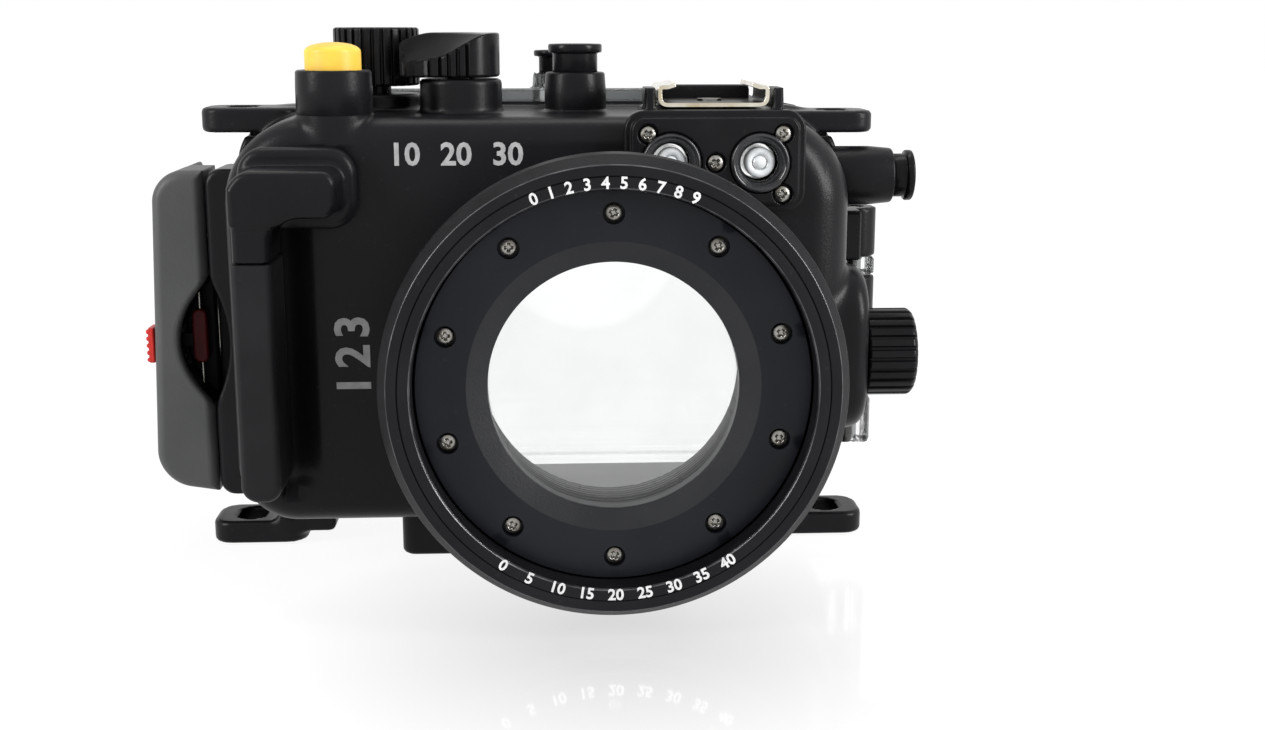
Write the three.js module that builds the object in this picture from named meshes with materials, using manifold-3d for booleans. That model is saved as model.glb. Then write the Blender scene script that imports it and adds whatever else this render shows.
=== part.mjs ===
// Underwater housing for a pocket camera, in millimetres.
// While it is built, the lens axis is the y axis: x runs to the right, y from the port back to
// the door and z up, and the front face of the port ring lies at y = 0. At the end everything
// is moved so that the origin is the bottom centre of the whole housing.

import * as THREE from 'three';
import { mergeVertices } from 'three/addons/utils/BufferGeometryUtils.js';
import Module from 'manifold-3d';

const wasm = await Module();
wasm.setup();

// General clearances and walls
const gap = 0.3;
const overrun = 1;
const sideWall = 3;
const frontWall = 5;

// Port: ring with the accessory thread, bezel, window
const threadRadius = 33.5;
const portRingWall = 5.6;
const portRingLip = 1.5;
const portRingTaper = 2.4;
const portRingDepth = 7.6;
const bezelSetback = 4.5;
const bezelThickness = 4.1;
const bezelWidth = 12.4;
const windowChamferWidth = 3.5;
const windowChamferDepth = 1.4;
const portScrewCount = 10;
const portScrewInset = 4.2;
const portScrewHeadRadius = 1.5;
const portScrewHeadHeight = 1.2;
const portScrewShankRadius = 1;
const portScrewLength = 9;
const glassInset = 7.5;
const glassThickness = 4;
const glassSealInset = 2.4;
const glassSealWidth = 1.6;
const glassSealHeight = 1.4;
const tubeInset = 11;
const tubeDepth = 21.5;
const lensBayInset = 5.5;
const portHeadWall = 3;
const portHeadDepth = 5;
const portHeadTaper = 3.5;
const portNeckWall = 3;

// Front shell
const bodyMiddleX = -12;
const shellHalfWidth = 57;
const shellFrontY = 34;
const shellTop = 43;
const shellBottom = -32;
const shellDraft = 1;
const shellCornerRadius = 11;
const shellEdgeRadius = 4;
const flangeReach = 2;
const flangeRise = 2.5;
const flangeDrop = 4;
const flangeThickness = 7;
const flangeRearY = 68;
const flangeCornerRadius = 12;
const bayCornerRadius = 8;

// Strap lugs
const lugOverhang = 5.7;
const lugDepth = 13;
const lugDrop = 0.1;
const lugThickness = 4.2;
const baseDrop = 10.7;
const baseLugThickness = 4.6;
const lugSlotWidth = 5.8;
const lugSlotLength = 8;
const lugSlotEdge = 4.4;
const lugCornerRadius = 4;
const lugEdge = 0.7;
const lugFairing = 6;

// Tripod boss and its threaded insert
const tripodBossWidth = 56;
const tripodBossDepth = 22;
const tripodBossCornerRadius = 3;
const tripodInsertRadius = 5;
const tripodThreadRadius = 3.175;
const tripodInsertLength = 7.4;
const tripodInsertSetback = 11;

// Grip on the front left
const gripInset = 3.5;
const gripBarWidth = 7.5;
const gripBarDepth = 14;
const gripBottomInset = 8.2;
const gripPlateWidth = 21;
const gripTopInset = 4.8;
const gripPlateHeight = 14.6;
const gripPlateThickness = 3.6;
const gripArmInset = 3.3;
const gripArmSideInset = 2.4;
const gripCornerRadius = 5;
const gripEdge = 1.6;
const filletShare = 0.42;
const sleeveDrop = 4.8;
const sleeveWall = 1.5;
const grooveDepth = 2.8;
const grooveWidth = 5.9;

// Fibre-optic plate
const fibrePlateLeftX = 3;
const fibrePlateWidth = 32.6;
const fibrePlateRise = 1.4;
const fibrePlateHeight = 18.1;
const fibrePlateThickness = 3.4;
const fibrePlateCornerRadius = 3.6;
const fibreSocketRadius = 4.35;
const fibreSocketBore = 3.2;
const fibreSocketProud = 0.9;
const fibreLensRadius = 2.9;
const fibreLensRecess = 1.2;
const fibreSocketDrop = 9.3;
const fibreSocketSpacing = 15.9;
const fibreScrewHeadRadius = 1.55;
const fibreScrewHeadHeight = 1.1;
const fibreScrewShankRadius = 0.9;
const fibreScrewLength = 5;
const fibreScrewInset = 4.2;

// Cold shoe
const shoeWidth = 21.6;
const shoeSheet = 1.2;
const shoeHeight = 4.4;
const shoeLipGap = 14.1;
const shoeLength = 18;
const shoeEarWidth = 1.4;
const shoeEarHeight = 3.2;
const shoeScrewHeadRadius = 2.3;
const shoeScrewShankRadius = 1.2;
const shoeScrewLength = 4.4;

// Shutter button
const shutterX = -49;
const shutterSetback = 6;
const shutterBossRadius = 6.8;
const shutterBossRise = 8.3;
const shutterCapRadius = 5.05;
const shutterCapRise = 4.9;
const shutterCapDome = 1.3;
const shutterArmWidth = 3.4;
const shutterArmReach = 17;

// Sprung vertical buttons
const stemRadius = 2;
const pressTravel = 2.5;
const springSeatDepth = 9.3;
const springWireRadius = 0.4;
const springCurls = 5;
const linkageDrop = 7.7;
const linkageHeight = 3.4;

// Mode knob
const modeX = -43.2;
const modeSetback = 8;
const modeKnobRadius = 8.1;
const modeKnobHeight = 10.9;
const modeKnobLift = 1.5;
const modeBossRise = 3.3;
const modeShaftRadius = 2.6;
const modeWheelRadius = 5;
const knobRibDepth = 0.7;
const modeKnobRibs = 28;

// Zoom knob
const zoomX = -26.7;
const zoomSetback = 16;
const zoomBossRadius = 7.65;
const zoomBossRise = 6.4;
const zoomKnobRadius = 7.3;
const zoomKnobHeight = 8.2;
const zoomLobeReach = 11.5;
const zoomLobeHeight = 7.9;
const zoomShaftRadius = 2.5;
const zoomForkReach = 8;
const zoomScoopTilt = 34;
const zoomScoopTurn = 35;
const zoomRestAngle = 20;

// Power button
const powerX = -5.3;
const powerSetback = 18;
const powerBossRadius = 5.75;
const powerBossTopRadius = 5.2;
const powerBossRise = 7.5;
const powerCapRadius = 5.05;
const powerCapRise = 5.2;
const powerCapFlange = 1.6;
const powerWaistRadius = 4.2;

// Playback button on the door
const playbackX = -9.3;
const playbackBossRadius = 4.2;
const playbackBossRise = 3.1;
const playbackCapRadius = 3.9;
const playbackCapRise = 4.4;
const playbackCapFlange = 1.2;
const playbackWaistRadius = 2.9;
const playbackStemRadius = 1.3;

// Flash button on the right side
const flashSetback = 12;
const flashDrop = 12.6;
const flashBossRadius = 5.6;
const flashBossTipRadius = 5.2;
const flashBossReach = 11.3;
const flashCapRise = 4;
const flashCapRadius = 4.9;
const flashCapFlange = 1.4;
const flashWaistRadius = 4.2;

// Lens-ring knob on the right side
const ringKnobSetback = 12;
const ringKnobZ = -2.7;
const ringKnobRadius = 8.4;
const ringPodReach = 5.9;
const ringKnobLength = 9.4;
const ringKnobRibs = 24;
const ringShaftRadius = 3;
const ringWheelRadius = 6.6;
const ringWheelWidth = 4;
const ringPodDepth = 21;
const ringPodTopZ = 13.3;
const ringPodBottomZ = -17.7;
const ringPodEdge = 3;

// Back door
const doorRimRise = 1.2;
const doorRimDrop = 1;
const doorRimDepth = 4.7;
const doorDishInset = 3;
const doorDepth = 18.7;
const doorEdgeRadius = 4;
const doorWall = 3;
const sealInset = 1.3;
const sealWidth = 1.8;
const sealHeight = 1.2;

// Hinge
const hingeReach = 5;
const hingeBehindFlange = 2.3;
const hingePinRadius = 1.5;
const hingeKnuckleRadius = 4.5;
const hingeTopZ = 22.8;
const hingeUpperClearZ = 12.8;
const hingeUpperClearLength = 3.9;
const hingeLowerClearZ = -17;
const hingeBottomZ = -27;

// Latch
const latchWidth = 10.3;
const latchStandoff = 6.5;
const latchTopInset = 11;
const latchBottomInset = 0.5;
const latchSlopeShare = 0.42;
const latchFrontReach = 14;
const latchRearReach = 17;
const latchSkin = 5.4;
const latchPinInset = 0.5;
const latchPinSetback = 12;
const latchPinRadius = 1.5;
const latchKnuckleRadius = 4.5;
const latchKnuckleHalf = 16;
const latchEarHeight = 5.7;
const latchCornerRadius = 4;
const notchHeight = 25.5;
const notchMiddleZ = -2.3;
const notchReach = 6;
const notchDepth = 8;
const blockNotchReach = 1.6;
const keeperHeight = 1.2;
const keeperDepth = 2.4;
const hookHeight = 8;
const hookBase = 2.9;
const hookNose = 2.8;
const hookDepth = 4.4;
const safetyTabHeight = 6.8;
const safetyTabProud = 1.6;
const safetyTabWidth = 5;
const safetyCatchHeight = 11.6;
const safetyCatchWidth = 2.8;
const safetyTravel = 2.6;
const safetyStemHeight = 4;
const safetyStemWidth = 3;

// Rear buttons on the door
const rearButtonCount = 4;
const rearButtonX = -50;
const rearButtonTopZ = 24;
const rearButtonPitch = 14;
const rearBossRadius = 5.5;
const rearBossHeight = 3.5;
const rearCapRadius = 4.5;
const rearCapProud = 2.6;
const rearStemRadius = 1.6;
const rearTravel = 2;

// Rubber pads that carry the camera
const padWidth = 14;
const padDepth = 10;
const padHeight = 2;
const padSpacing = 78;

// Facets
const fineSides = 40;
const mediumSides = 20;
const smallSides = 10;
const cornerSteps = 2;
const ribSteps = 3;
const edgeSteps = 3;
const notchSteps = 12;
const curlSteps = 8;
const wireSides = 5;

const quarterTurn = Math.PI / 2;
const fullTurn = Math.PI * 2;

// Radii of the port
const windowRadius = threadRadius - bezelWidth;
const glassRadius = threadRadius - glassInset;
const tubeRadius = threadRadius - tubeInset;
const lensBayRadius = threadRadius - lensBayInset;
const portRingRadius = threadRadius + portRingWall;
const portRingFaceRadius = portRingRadius - portRingLip;
const windowChamferRadius = windowRadius + windowChamferWidth;
const portScrewCircleRadius = threadRadius - portScrewInset;
const glassSealInnerRadius = glassRadius - glassSealInset;
const portHeadRadius = threadRadius + portHeadWall;
const portNeckRadius = lensBayRadius + portNeckWall;

// Sides of the shells
const flangeHalfWidth = shellHalfWidth + flangeReach;
const bayHalfWidth = shellHalfWidth - sideWall;
const shellRightX = bodyMiddleX + shellHalfWidth;
const flangeLeftX = bodyMiddleX - flangeHalfWidth;
const flangeRightX = bodyMiddleX + flangeHalfWidth;
const lugReach = flangeHalfWidth + lugOverhang;
const gripLeftX = bodyMiddleX - shellHalfWidth + gripInset;
const gripPlateRightX = gripLeftX + gripPlateWidth;
const fibrePlateRightX = fibrePlateLeftX + fibrePlateWidth;
const flashBossX = shellRightX + flashBossReach;
const flashCapX = flashBossX + flashCapRise;
const ringKnobFromX = shellRightX + ringPodReach;
const ringKnobToX = ringKnobFromX + ringKnobLength;
const hingeX = flangeRightX + hingeReach;
const latchInnerX = flangeLeftX - latchStandoff;
const latchOuterX = latchInnerX - latchWidth;
const latchPinX = latchInnerX + latchPinInset;

// Stations along the lens axis
const bezelBackY = bezelSetback + bezelThickness;
const portBossFaceY = portRingDepth + gap;
const bezelSeatY = bezelBackY + gap;
const glassBackY = bezelSeatY + glassThickness;
const glassSeatY = glassBackY + gap;
const tubeEndY = bezelSetback + tubeDepth;
const bayFrontY = shellFrontY + frontWall;
const flangeFrontY = flangeRearY - flangeThickness;
const tripodBossFrontY = flangeRearY - tripodBossDepth;
const tripodInsertY = flangeRearY - tripodInsertSetback;
const gripBarFrontY = shellFrontY - gripBarDepth;
const shutterY = shellFrontY + shutterSetback;
const zoomY = shellFrontY + zoomSetback;
const powerY = shellFrontY + powerSetback;
const modeY = flangeRearY - modeSetback;
const flashY = flangeRearY - flashSetback;
const ringKnobY = shellFrontY + ringKnobSetback;
const latchFrontY = flangeRearY - latchFrontReach;
const latchRearY = flangeRearY + latchRearReach;
const latchPinY = flangeRearY + latchPinSetback;
const lugFrontY = flangeRearY - lugDepth;
const doorFrontY = flangeRearY + gap;
const doorRimBackY = doorFrontY + doorRimDepth;
const doorBackY = doorFrontY + doorDepth;
const hingeY = flangeRearY + hingeBehindFlange;

// Heights
const bayTop = shellTop - sideWall;
const bayBottom = shellBottom + sideWall;
const flangeTop = shellTop + flangeRise;
const flangeBottom = shellBottom - flangeDrop;
const doorRimTop = flangeTop + doorRimRise;
const doorRimBottom = flangeBottom - doorRimDrop;
const lugTopZ = shellTop - lugDrop;
const baseZ = shellBottom - baseDrop;
const gripBottomZ = shellBottom + gripBottomInset;
const gripPlateTopZ = shellTop - gripTopInset;
const gripPlateBottomZ = gripPlateTopZ - gripPlateHeight;
const sleeveTopZ = gripPlateBottomZ - sleeveDrop;
const fibrePlateTopZ = shellTop + fibrePlateRise;
const fibrePlateBottomZ = fibrePlateTopZ - fibrePlateHeight;
const fibreSocketZ = fibrePlateTopZ - fibreSocketDrop;
const linkageZ = bayTop - linkageDrop;
const shutterBossTop = shellTop + shutterBossRise;
const shutterCapTop = shutterBossTop + shutterCapRise;
const modeBossTop = shellTop + modeBossRise;
const zoomBossTop = shellTop + zoomBossRise;
const powerBossTop = shellTop + powerBossRise;
const powerCapTop = powerBossTop + powerCapRise;
const playbackBossTop = doorRimTop + playbackBossRise;
const playbackCapTop = playbackBossTop + playbackCapRise;
const flashZ = shellTop - flashDrop;
const latchTopZ = shellTop - latchTopInset;
const latchBottomZ = flangeBottom + latchBottomInset;

// Materials, with the colours of the moulded and machined pieces
function plain(color, roughness, metalness) {
  return new THREE.MeshStandardMaterial({ color, roughness, metalness });
}
const blackPlastic = plain(0x1c1d20, 0.55, 0);
const darkGreyPlastic = plain(0x3c3e42, 0.5, 0);
const rubber = plain(0x141414, 0.9, 0);
const anodised = plain(0x26272b, 0.45, 0.6);
const clearPlastic = plain(0xd8e2e6, 0.1, 0);
clearPlastic.transparent = true;
clearPlastic.opacity = 0.35;
const glass = plain(0xf2f6f8, 0.03, 0);
glass.transparent = true;
glass.opacity = 0.25;
const steel = plain(0xb9b6ad, 0.3, 1);
const chrome = plain(0xd9d6cf, 0.15, 1);
const brass = plain(0xb08d4a, 0.35, 1);
const yellow = plain(0xf6c233, 0.45, 0);
const red = plain(0xc8281e, 0.5, 0);

// Turns a closed geometry into a solid, with its faces pointing out
function solid(geometry) {
  const bare = new THREE.BufferGeometry();
  bare.setAttribute('position', geometry.getAttribute('position'));
  bare.setIndex(geometry.getIndex());
  const merged = mergeVertices(bare);
  const places = merged.getAttribute('position').array;
  const index = merged.getIndex().array;
  const corners = [];
  let volume = 0;
  for (let i = 0; i < index.length; i += 3) {
    const [a, b, c] = [index[i], index[i + 1], index[i + 2]];
    if (a === b || b === c || c === a) continue;
    corners.push(a, b, c);
    const [p, q, r] = [a, b, c].map((k) => new THREE.Vector3().fromArray(places, 3 * k));
    volume += p.dot(q.cross(r));
  }
  const triVerts = new Uint32Array(volume < 0 ? corners.reverse() : corners);
  const vertProperties = new Float32Array(places);
  return new wasm.Manifold(new wasm.Mesh({ numProp: 3, vertProperties, triVerts }));
}

function joined(first, ...others) {
  return others.reduce((whole, piece) => whole.add(piece), first);
}

function cut(body, ...tools) {
  return tools.reduce((rest, tool) => rest.subtract(tool), body);
}

const group = new THREE.Group();
const rig = new THREE.Group();
group.add(rig);

// Puts a finished solid into the housing as a named piece
function piece(name, body, material) {
  const mesh = body.getMesh();
  const geometry = new THREE.BufferGeometry();
  geometry.setAttribute('position', new THREE.BufferAttribute(mesh.vertProperties, 3));
  geometry.setIndex(new THREE.BufferAttribute(mesh.triVerts, 1));
  geometry.computeVertexNormals();
  const part = new THREE.Mesh(geometry, material);
  part.name = name;
  rig.add(part);
}

// Turned profile of [radius, distance along the axis] points, about the x, y or z axis
function turned(axis, profile, centre, sides) {
  const points = profile.map(([radius, along]) => new THREE.Vector2(radius, along));
  const geometry = new THREE.LatheGeometry(points, sides);
  if (axis === 'z') geometry.rotateX(quarterTurn);
  if (axis === 'x') geometry.rotateZ(-quarterTurn);
  geometry.translate(centre[0], centre[1], centre[2]);
  return solid(geometry);
}

function rod(axis, radius, from, to, centre, sides) {
  return cone(axis, radius, radius, from, to, centre, sides);
}

function cone(axis, fromRadius, toRadius, from, to, centre, sides) {
  const profile = [[0, from], [fromRadius, from], [toRadius, to], [0, to]];
  return turned(axis, profile, centre, sides);
}

function ringProfile(inner, outer, from, to) {
  return [[inner, from], [outer, from], [outer, to], [inner, to], [inner, from]];
}

function tube(axis, inner, outer, from, to, centre, sides) {
  return turned(axis, ringProfile(inner, outer, from, to), centre, sides);
}

// Rounded rectangle between two corners
function roundedRect(u0, u1, v0, v1, radius) {
  const shape = new THREE.Shape();
  shape.absarc(u1 - radius, v0 + radius, radius, -quarterTurn, 0);
  shape.absarc(u1 - radius, v1 - radius, radius, 0, quarterTurn);
  shape.absarc(u0 + radius, v1 - radius, radius, quarterTurn, 2 * quarterTurn);
  shape.absarc(u0 + radius, v0 + radius, radius, 2 * quarterTurn, 3 * quarterTurn);
  shape.closePath();
  return shape;
}

function polygon(points) {
  return new THREE.Shape(points.map(([u, v]) => new THREE.Vector2(u, v)));
}

// Straight extrusion of a shape along an axis, its ends rounded by edge.
// The shape lies in (x, z) for y, in (x, y) for z and in (y, z) for x.
function slab(axis, shape, from, to, edge = 0) {
  const geometry = new THREE.ExtrudeGeometry(shape, {
    depth: to - from - 2 * edge,
    curveSegments: cornerSteps,
    bevelEnabled: edge > 0,
    bevelThickness: edge,
    bevelSize: edge,
    bevelOffset: -edge,
    bevelSegments: 1,
  });
  geometry.translate(0, 0, edge);
  if (axis === 'y') geometry.rotateX(quarterTurn).translate(0, to, 0);
  if (axis === 'z') geometry.translate(0, 0, from);
  if (axis === 'x') {
    const [x, y, z] = [new THREE.Vector3(1, 0, 0), new THREE.Vector3(0, 1, 0), new THREE.Vector3(0, 0, 1)];
    geometry.applyMatrix4(new THREE.Matrix4().makeBasis(y, z, x)).translate(from, 0, 0);
  }
  return solid(geometry);
}

function block(x0, x1, y0, y1, z0, z1) {
  const geometry = new THREE.BoxGeometry(x1 - x0, y1 - y0, z1 - z0);
  geometry.translate((x0 + x1) / 2, (y0 + y1) / 2, (z0 + z1) / 2);
  return solid(geometry);
}

// Skin through rounded rectangles at rising y, closed at both ends
function loft(sections) {
  const places = [];
  const index = [];
  const rings = sections.map((s) => {
    const shape = roundedRect(s.x0, s.x1, s.z0, s.z1, s.radius);
    return shape.getPoints(cornerSteps).slice(0, -1).map((p) => [p.x, s.y, p.y]);
  });
  const count = rings[0].length;
  rings.forEach((ring) => ring.forEach((p) => places.push(...p)));
  for (let k = 0; k + 1 < rings.length; k++) {
    for (let i = 0; i < count; i++) {
      const a = k * count + i;
      const b = k * count + (i + 1) % count;
      index.push(a, b, b + count, a, b + count, a + count);
    }
  }
  const last = (rings.length - 1) * count;
  for (let i = 1; i + 1 < count; i++) {
    index.push(0, i + 1, i);
    index.push(last, last + i, last + i + 1);
  }
  const geometry = new THREE.BufferGeometry();
  geometry.setAttribute('position', new THREE.Float32BufferAttribute(places, 3));
  geometry.setIndex(index);
  return solid(geometry);
}

function section(y, halfWidth, z0, z1, radius) {
  return { y, x0: bodyMiddleX - halfWidth, x1: bodyMiddleX + halfWidth, z0, z1, radius };
}

// The sections of an edge rounded over, from the flat face inwards; facing is 1 where y rises
function roundedEdge(faceY, facing, edge, halfWidth, z0, z1, radius) {
  const sections = [];
  for (let i = 0; i <= edgeSteps; i++) {
    const angle = quarterTurn * i / edgeSteps;
    const inset = edge * (1 - Math.sin(angle));
    const y = faceY + facing * edge * (1 - Math.cos(angle));
    sections.push(section(y, halfWidth - inset, z0 + inset, z1 - inset, radius - inset));
  }
  return sections;
}

// Outline of a ribbed knob
function ribbedOutline(radius, ribs, depth) {
  const shape = new THREE.Shape();
  const count = ribs * ribSteps;
  for (let i = 0; i < count; i++) {
    const angle = fullTurn * i / count;
    const reach = radius - depth * (i % ribSteps === 0 ? 1 : 0);
    const place = [reach * Math.cos(angle), reach * Math.sin(angle)];
    if (i === 0) shape.moveTo(...place);
    else shape.lineTo(...place);
  }
  shape.closePath();
  return shape;
}

// Compression spring standing on z, as one unbroken wire
function spring(name, x, y, fromZ, toZ, coilRadius) {
  const steps = springCurls * curlSteps;
  const lowZ = fromZ + springWireRadius;
  const rise = toZ - fromZ - 2 * springWireRadius;
  const middles = [];
  for (let i = 0; i <= steps; i++) {
    const angle = fullTurn * i / curlSteps;
    const out = new THREE.Vector3(Math.cos(angle), Math.sin(angle), 0);
    const axisPoint = new THREE.Vector3(x, y, lowZ + rise * i / steps);
    middles.push({ out, centre: out.clone().multiplyScalar(coilRadius).add(axisPoint) });
  }
  const places = [];
  const index = [];
  middles.forEach(({ out, centre }) => {
    for (let k = 0; k < wireSides; k++) {
      const angle = fullTurn * k / wireSides;
      const point = out.clone().multiplyScalar(springWireRadius * Math.cos(angle)).add(centre);
      places.push(point.x, point.y, point.z + springWireRadius * Math.sin(angle));
    }
  });
  for (let i = 0; i < steps; i++) {
    for (let k = 0; k < wireSides; k++) {
      const a = i * wireSides + k;
      const b = i * wireSides + (k + 1) % wireSides;
      index.push(a, b, b + wireSides, a, b + wireSides, a + wireSides);
    }
  }
  const last = steps * wireSides;
  for (let k = 1; k + 1 < wireSides; k++) {
    index.push(0, k + 1, k);
    index.push(last, last + k, last + k + 1);
  }
  const geometry = new THREE.BufferGeometry();
  geometry.setAttribute('position', new THREE.Float32BufferAttribute(places, 3));
  geometry.setIndex(index);
  let least = Infinity;
  for (let i = 0; i + curlSteps / 2 <= steps; i++) {
    for (let j = i + curlSteps / 2; j <= steps; j++) {
      least = Math.min(least, middles[i].centre.distanceTo(middles[j].centre));
    }
  }
  console.log(`${name}: least gap between curls ${(least - 2 * springWireRadius).toFixed(2)} mm`);
  piece(name, solid(geometry), steel);
}

// Port ring: an annulus whose rim widens behind its face
function portRing() {
  const profile = [
    [threadRadius, 0],
    [portRingFaceRadius, 0],
    [portRingRadius, portRingTaper],
    [portRingRadius, portRingDepth],
    [threadRadius, portRingDepth],
    [threadRadius, 0],
  ];
  piece('port_ring', turned('y', profile, [0, 0, 0], fineSides), anodised);
}

function portScrewPlaces() {
  return Array.from({ length: portScrewCount }, (_, i) => {
    const angle = fullTurn * i / portScrewCount;
    return [portScrewCircleRadius * Math.sin(angle), portScrewCircleRadius * Math.cos(angle)];
  });
}

function portWindow() {
  const bezelRadius = threadRadius - gap;
  const profile = [
    [windowRadius, bezelSetback + windowChamferDepth],
    [windowChamferRadius, bezelSetback],
    [bezelRadius, bezelSetback],
    [bezelRadius, bezelBackY],
    [windowRadius, bezelBackY],
    [windowRadius, bezelSetback + windowChamferDepth],
  ];
  const sinkY = bezelSetback + portScrewHeadHeight + gap;
  const holes = portScrewPlaces().flatMap(([x, z]) => [
    rod('y', portScrewHeadRadius + gap, bezelSetback - overrun, sinkY + gap, [x, 0, z], smallSides),
    rod('y', portScrewShankRadius + gap, bezelSetback, bezelBackY + overrun, [x, 0, z], smallSides),
  ]);
  piece('port_bezel', cut(turned('y', profile, [0, 0, 0], fineSides), ...holes), blackPlastic);
  portScrewPlaces().forEach(([x, z], i) => {
    const head = rod('y', portScrewHeadRadius, bezelSetback + gap, sinkY, [x, 0, z], smallSides);
    const shank = rod(
      'y', portScrewShankRadius, sinkY - gap, bezelSetback + portScrewLength, [x, 0, z],
      smallSides,
    );
    piece(`port_screw_${i + 1}`, joined(head, shank), steel);
  });
  piece('port_glass', rod('y', glassRadius, bezelSeatY, glassBackY, [0, 0, 0], fineSides), glass);
  const sealOuter = glassSealInnerRadius + glassSealWidth;
  const seal = tube(
    'y', glassSealInnerRadius, sealOuter, glassSeatY, glassSeatY + glassSealHeight, [0, 0, 0],
    fineSides,
  );
  piece('port_glass_seal', seal, rubber);
}

// Cuts that the port needs in the front shell
function portCuts() {
  const centre = [0, 0, 0];
  const grooveOuter = glassSealInnerRadius + glassSealWidth + gap;
  const tapped = portScrewPlaces().map(([x, z]) => {
    const end = bezelSetback + portScrewLength + gap;
    return rod('y', portScrewShankRadius + gap, portBossFaceY, end, [x, 0, z], smallSides);
  });
  return [
    rod('y', threadRadius, 0, bezelSeatY, centre, fineSides),
    rod('y', glassRadius + gap, 0, glassSeatY, centre, fineSides),
    tube(
      'y', glassSealInnerRadius - gap, grooveOuter, 0, glassSeatY + glassSealHeight + gap,
      centre, fineSides,
    ),
    rod('y', tubeRadius, 0, tubeEndY + overrun, centre, fineSides),
    rod('y', lensBayRadius, tubeEndY, bayFrontY + overrun, centre, fineSides),
    ...tapped,
  ];
}

const shutterPlace = [shutterX, shutterY, 0];
const modePlace = [modeX, modeY, 0];
const zoomPlace = [zoomX, zoomY, 0];
const powerPlace = [powerX, powerY, 0];

// Bosses on the top of the front shell, and their bores
function topBosses() {
  const skirtZ = shellTop - shellEdgeRadius - sideWall / 2;
  return [
    rod('z', shutterBossRadius, skirtZ, shutterBossTop, shutterPlace, mediumSides),
    cone(
      'z', shutterBossRadius / 2, shutterBossRadius, skirtZ - shutterBossRadius, skirtZ,
      shutterPlace, mediumSides,
    ),
    rod('z', modeKnobRadius, bayTop, modeBossTop, modePlace, mediumSides),
    rod('z', zoomBossRadius, bayTop, zoomBossTop, zoomPlace, mediumSides),
    cone(
      'z', powerBossRadius, powerBossTopRadius, shellTop - sideWall, powerBossTop, powerPlace,
      mediumSides,
    ),
  ];
}

function topBores() {
  const under = bayTop - overrun;
  const shutterFloor = shutterBossTop - springSeatDepth;
  const powerFloor = powerBossTop - springSeatDepth;
  const armPocketHalf = shutterArmWidth + overrun;
  return [
    rod('z', stemRadius + gap, under, shutterBossTop, shutterPlace, smallSides),
    rod('z', shutterCapRadius + gap, shutterFloor, shutterBossTop + overrun, shutterPlace, mediumSides),
    block(
      shutterX - armPocketHalf, shutterX + armPocketHalf,
      shutterY - armPocketHalf + overrun, bayFrontY + overrun,
      linkageZ - gap, bayTop,
    ),
    rod('z', modeShaftRadius + gap, under, modeBossTop + overrun, modePlace, smallSides),
    rod('z', zoomShaftRadius + gap, under, zoomBossTop + overrun, zoomPlace, smallSides),
    rod('z', stemRadius + gap, under, powerBossTop, powerPlace, smallSides),
    rod('z', powerWaistRadius + gap, powerFloor, powerBossTop + overrun, powerPlace, smallSides),
  ];
}

// One strap lug; side is -1 on the left and 1 on the right
function lug(side, topZ, thickness, fairingDown) {
  const outerX = bodyMiddleX + side * lugReach;
  const innerX = bodyMiddleX + side * (shellHalfWidth - shellCornerRadius);
  const [x0, x1] = [Math.min(outerX, innerX), Math.max(outerX, innerX)];
  const shape = roundedRect(x0, x1, lugFrontY, flangeRearY, lugCornerRadius);
  const plate = slab('z', shape, topZ - thickness, topZ, lugEdge);
  const slotOuterX = outerX - side * lugSlotEdge;
  const slotInnerX = slotOuterX - side * lugSlotWidth;
  const slotMiddleY = (lugFrontY + flangeRearY) / 2;
  const slot = roundedRect(
    Math.min(slotOuterX, slotInnerX), Math.max(slotOuterX, slotInnerX),
    slotMiddleY - lugSlotLength / 2, slotMiddleY + lugSlotLength / 2, lugSlotWidth / 2 - gap,
  );
  const hole = slab('z', slot, topZ - thickness - overrun, topZ + overrun);
  if (!fairingDown) return { plate, hole };
  const rootX = slotInnerX - side * sideWall;
  const wedge = polygon([
    [rootX, topZ - thickness / 2],
    [rootX, bayBottom - sideWall / 2],
    [innerX - side * lugFairing, bayBottom - sideWall / 2],
    [innerX - side * lugFairing, topZ],
    [innerX, topZ - thickness / 2],
  ]);
  return { plate: joined(plate, slab('y', wedge, lugFrontY + gap, flangeRearY)), hole };
}

function lugs() {
  return [-1, 1].flatMap((side) => [
    lug(side, lugTopZ, lugThickness, false),
    lug(side, baseZ + baseLugThickness, baseLugThickness, true),
  ]);
}

// Lens-shaped outline of the finger notch, in (x, z): flat on the seam, bulging towards reach
function notchOutline(seamX, reach) {
  const half = notchHeight / 2;
  const points = [];
  for (let i = 0; i <= notchSteps; i++) {
    const share = 2 * i / notchSteps - 1;
    points.push([seamX + reach * (1 - share * share), notchMiddleZ + half * share]);
  }
  const back = seamX - Math.sign(reach) * gap;
  points.push([back, notchMiddleZ + half], [back, notchMiddleZ - half]);
  return polygon(points);
}

const notchBackY = latchFrontY + notchDepth;
const hookFrontY = notchBackY + 2 * gap;
const blockX = latchInnerX + gap;
const hookTipX = latchInnerX + hookNose;
const keeperTipX = hookTipX + gap;
const channelX = keeperTipX + keeperHeight;
const channelHalf = hookHeight / 2 + 2 * gap + safetyTravel / 2;

// Fixed block beside the latch lever, with the keeper that the hook holds
function latchBlock() {
  const shape = roundedRect(
    blockX, bodyMiddleX - bayHalfWidth - gap, latchBottomZ + gap, latchTopZ + gap,
    latchCornerRadius / 2,
  );
  return slab('y', shape, latchFrontY, flangeRearY);
}

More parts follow.
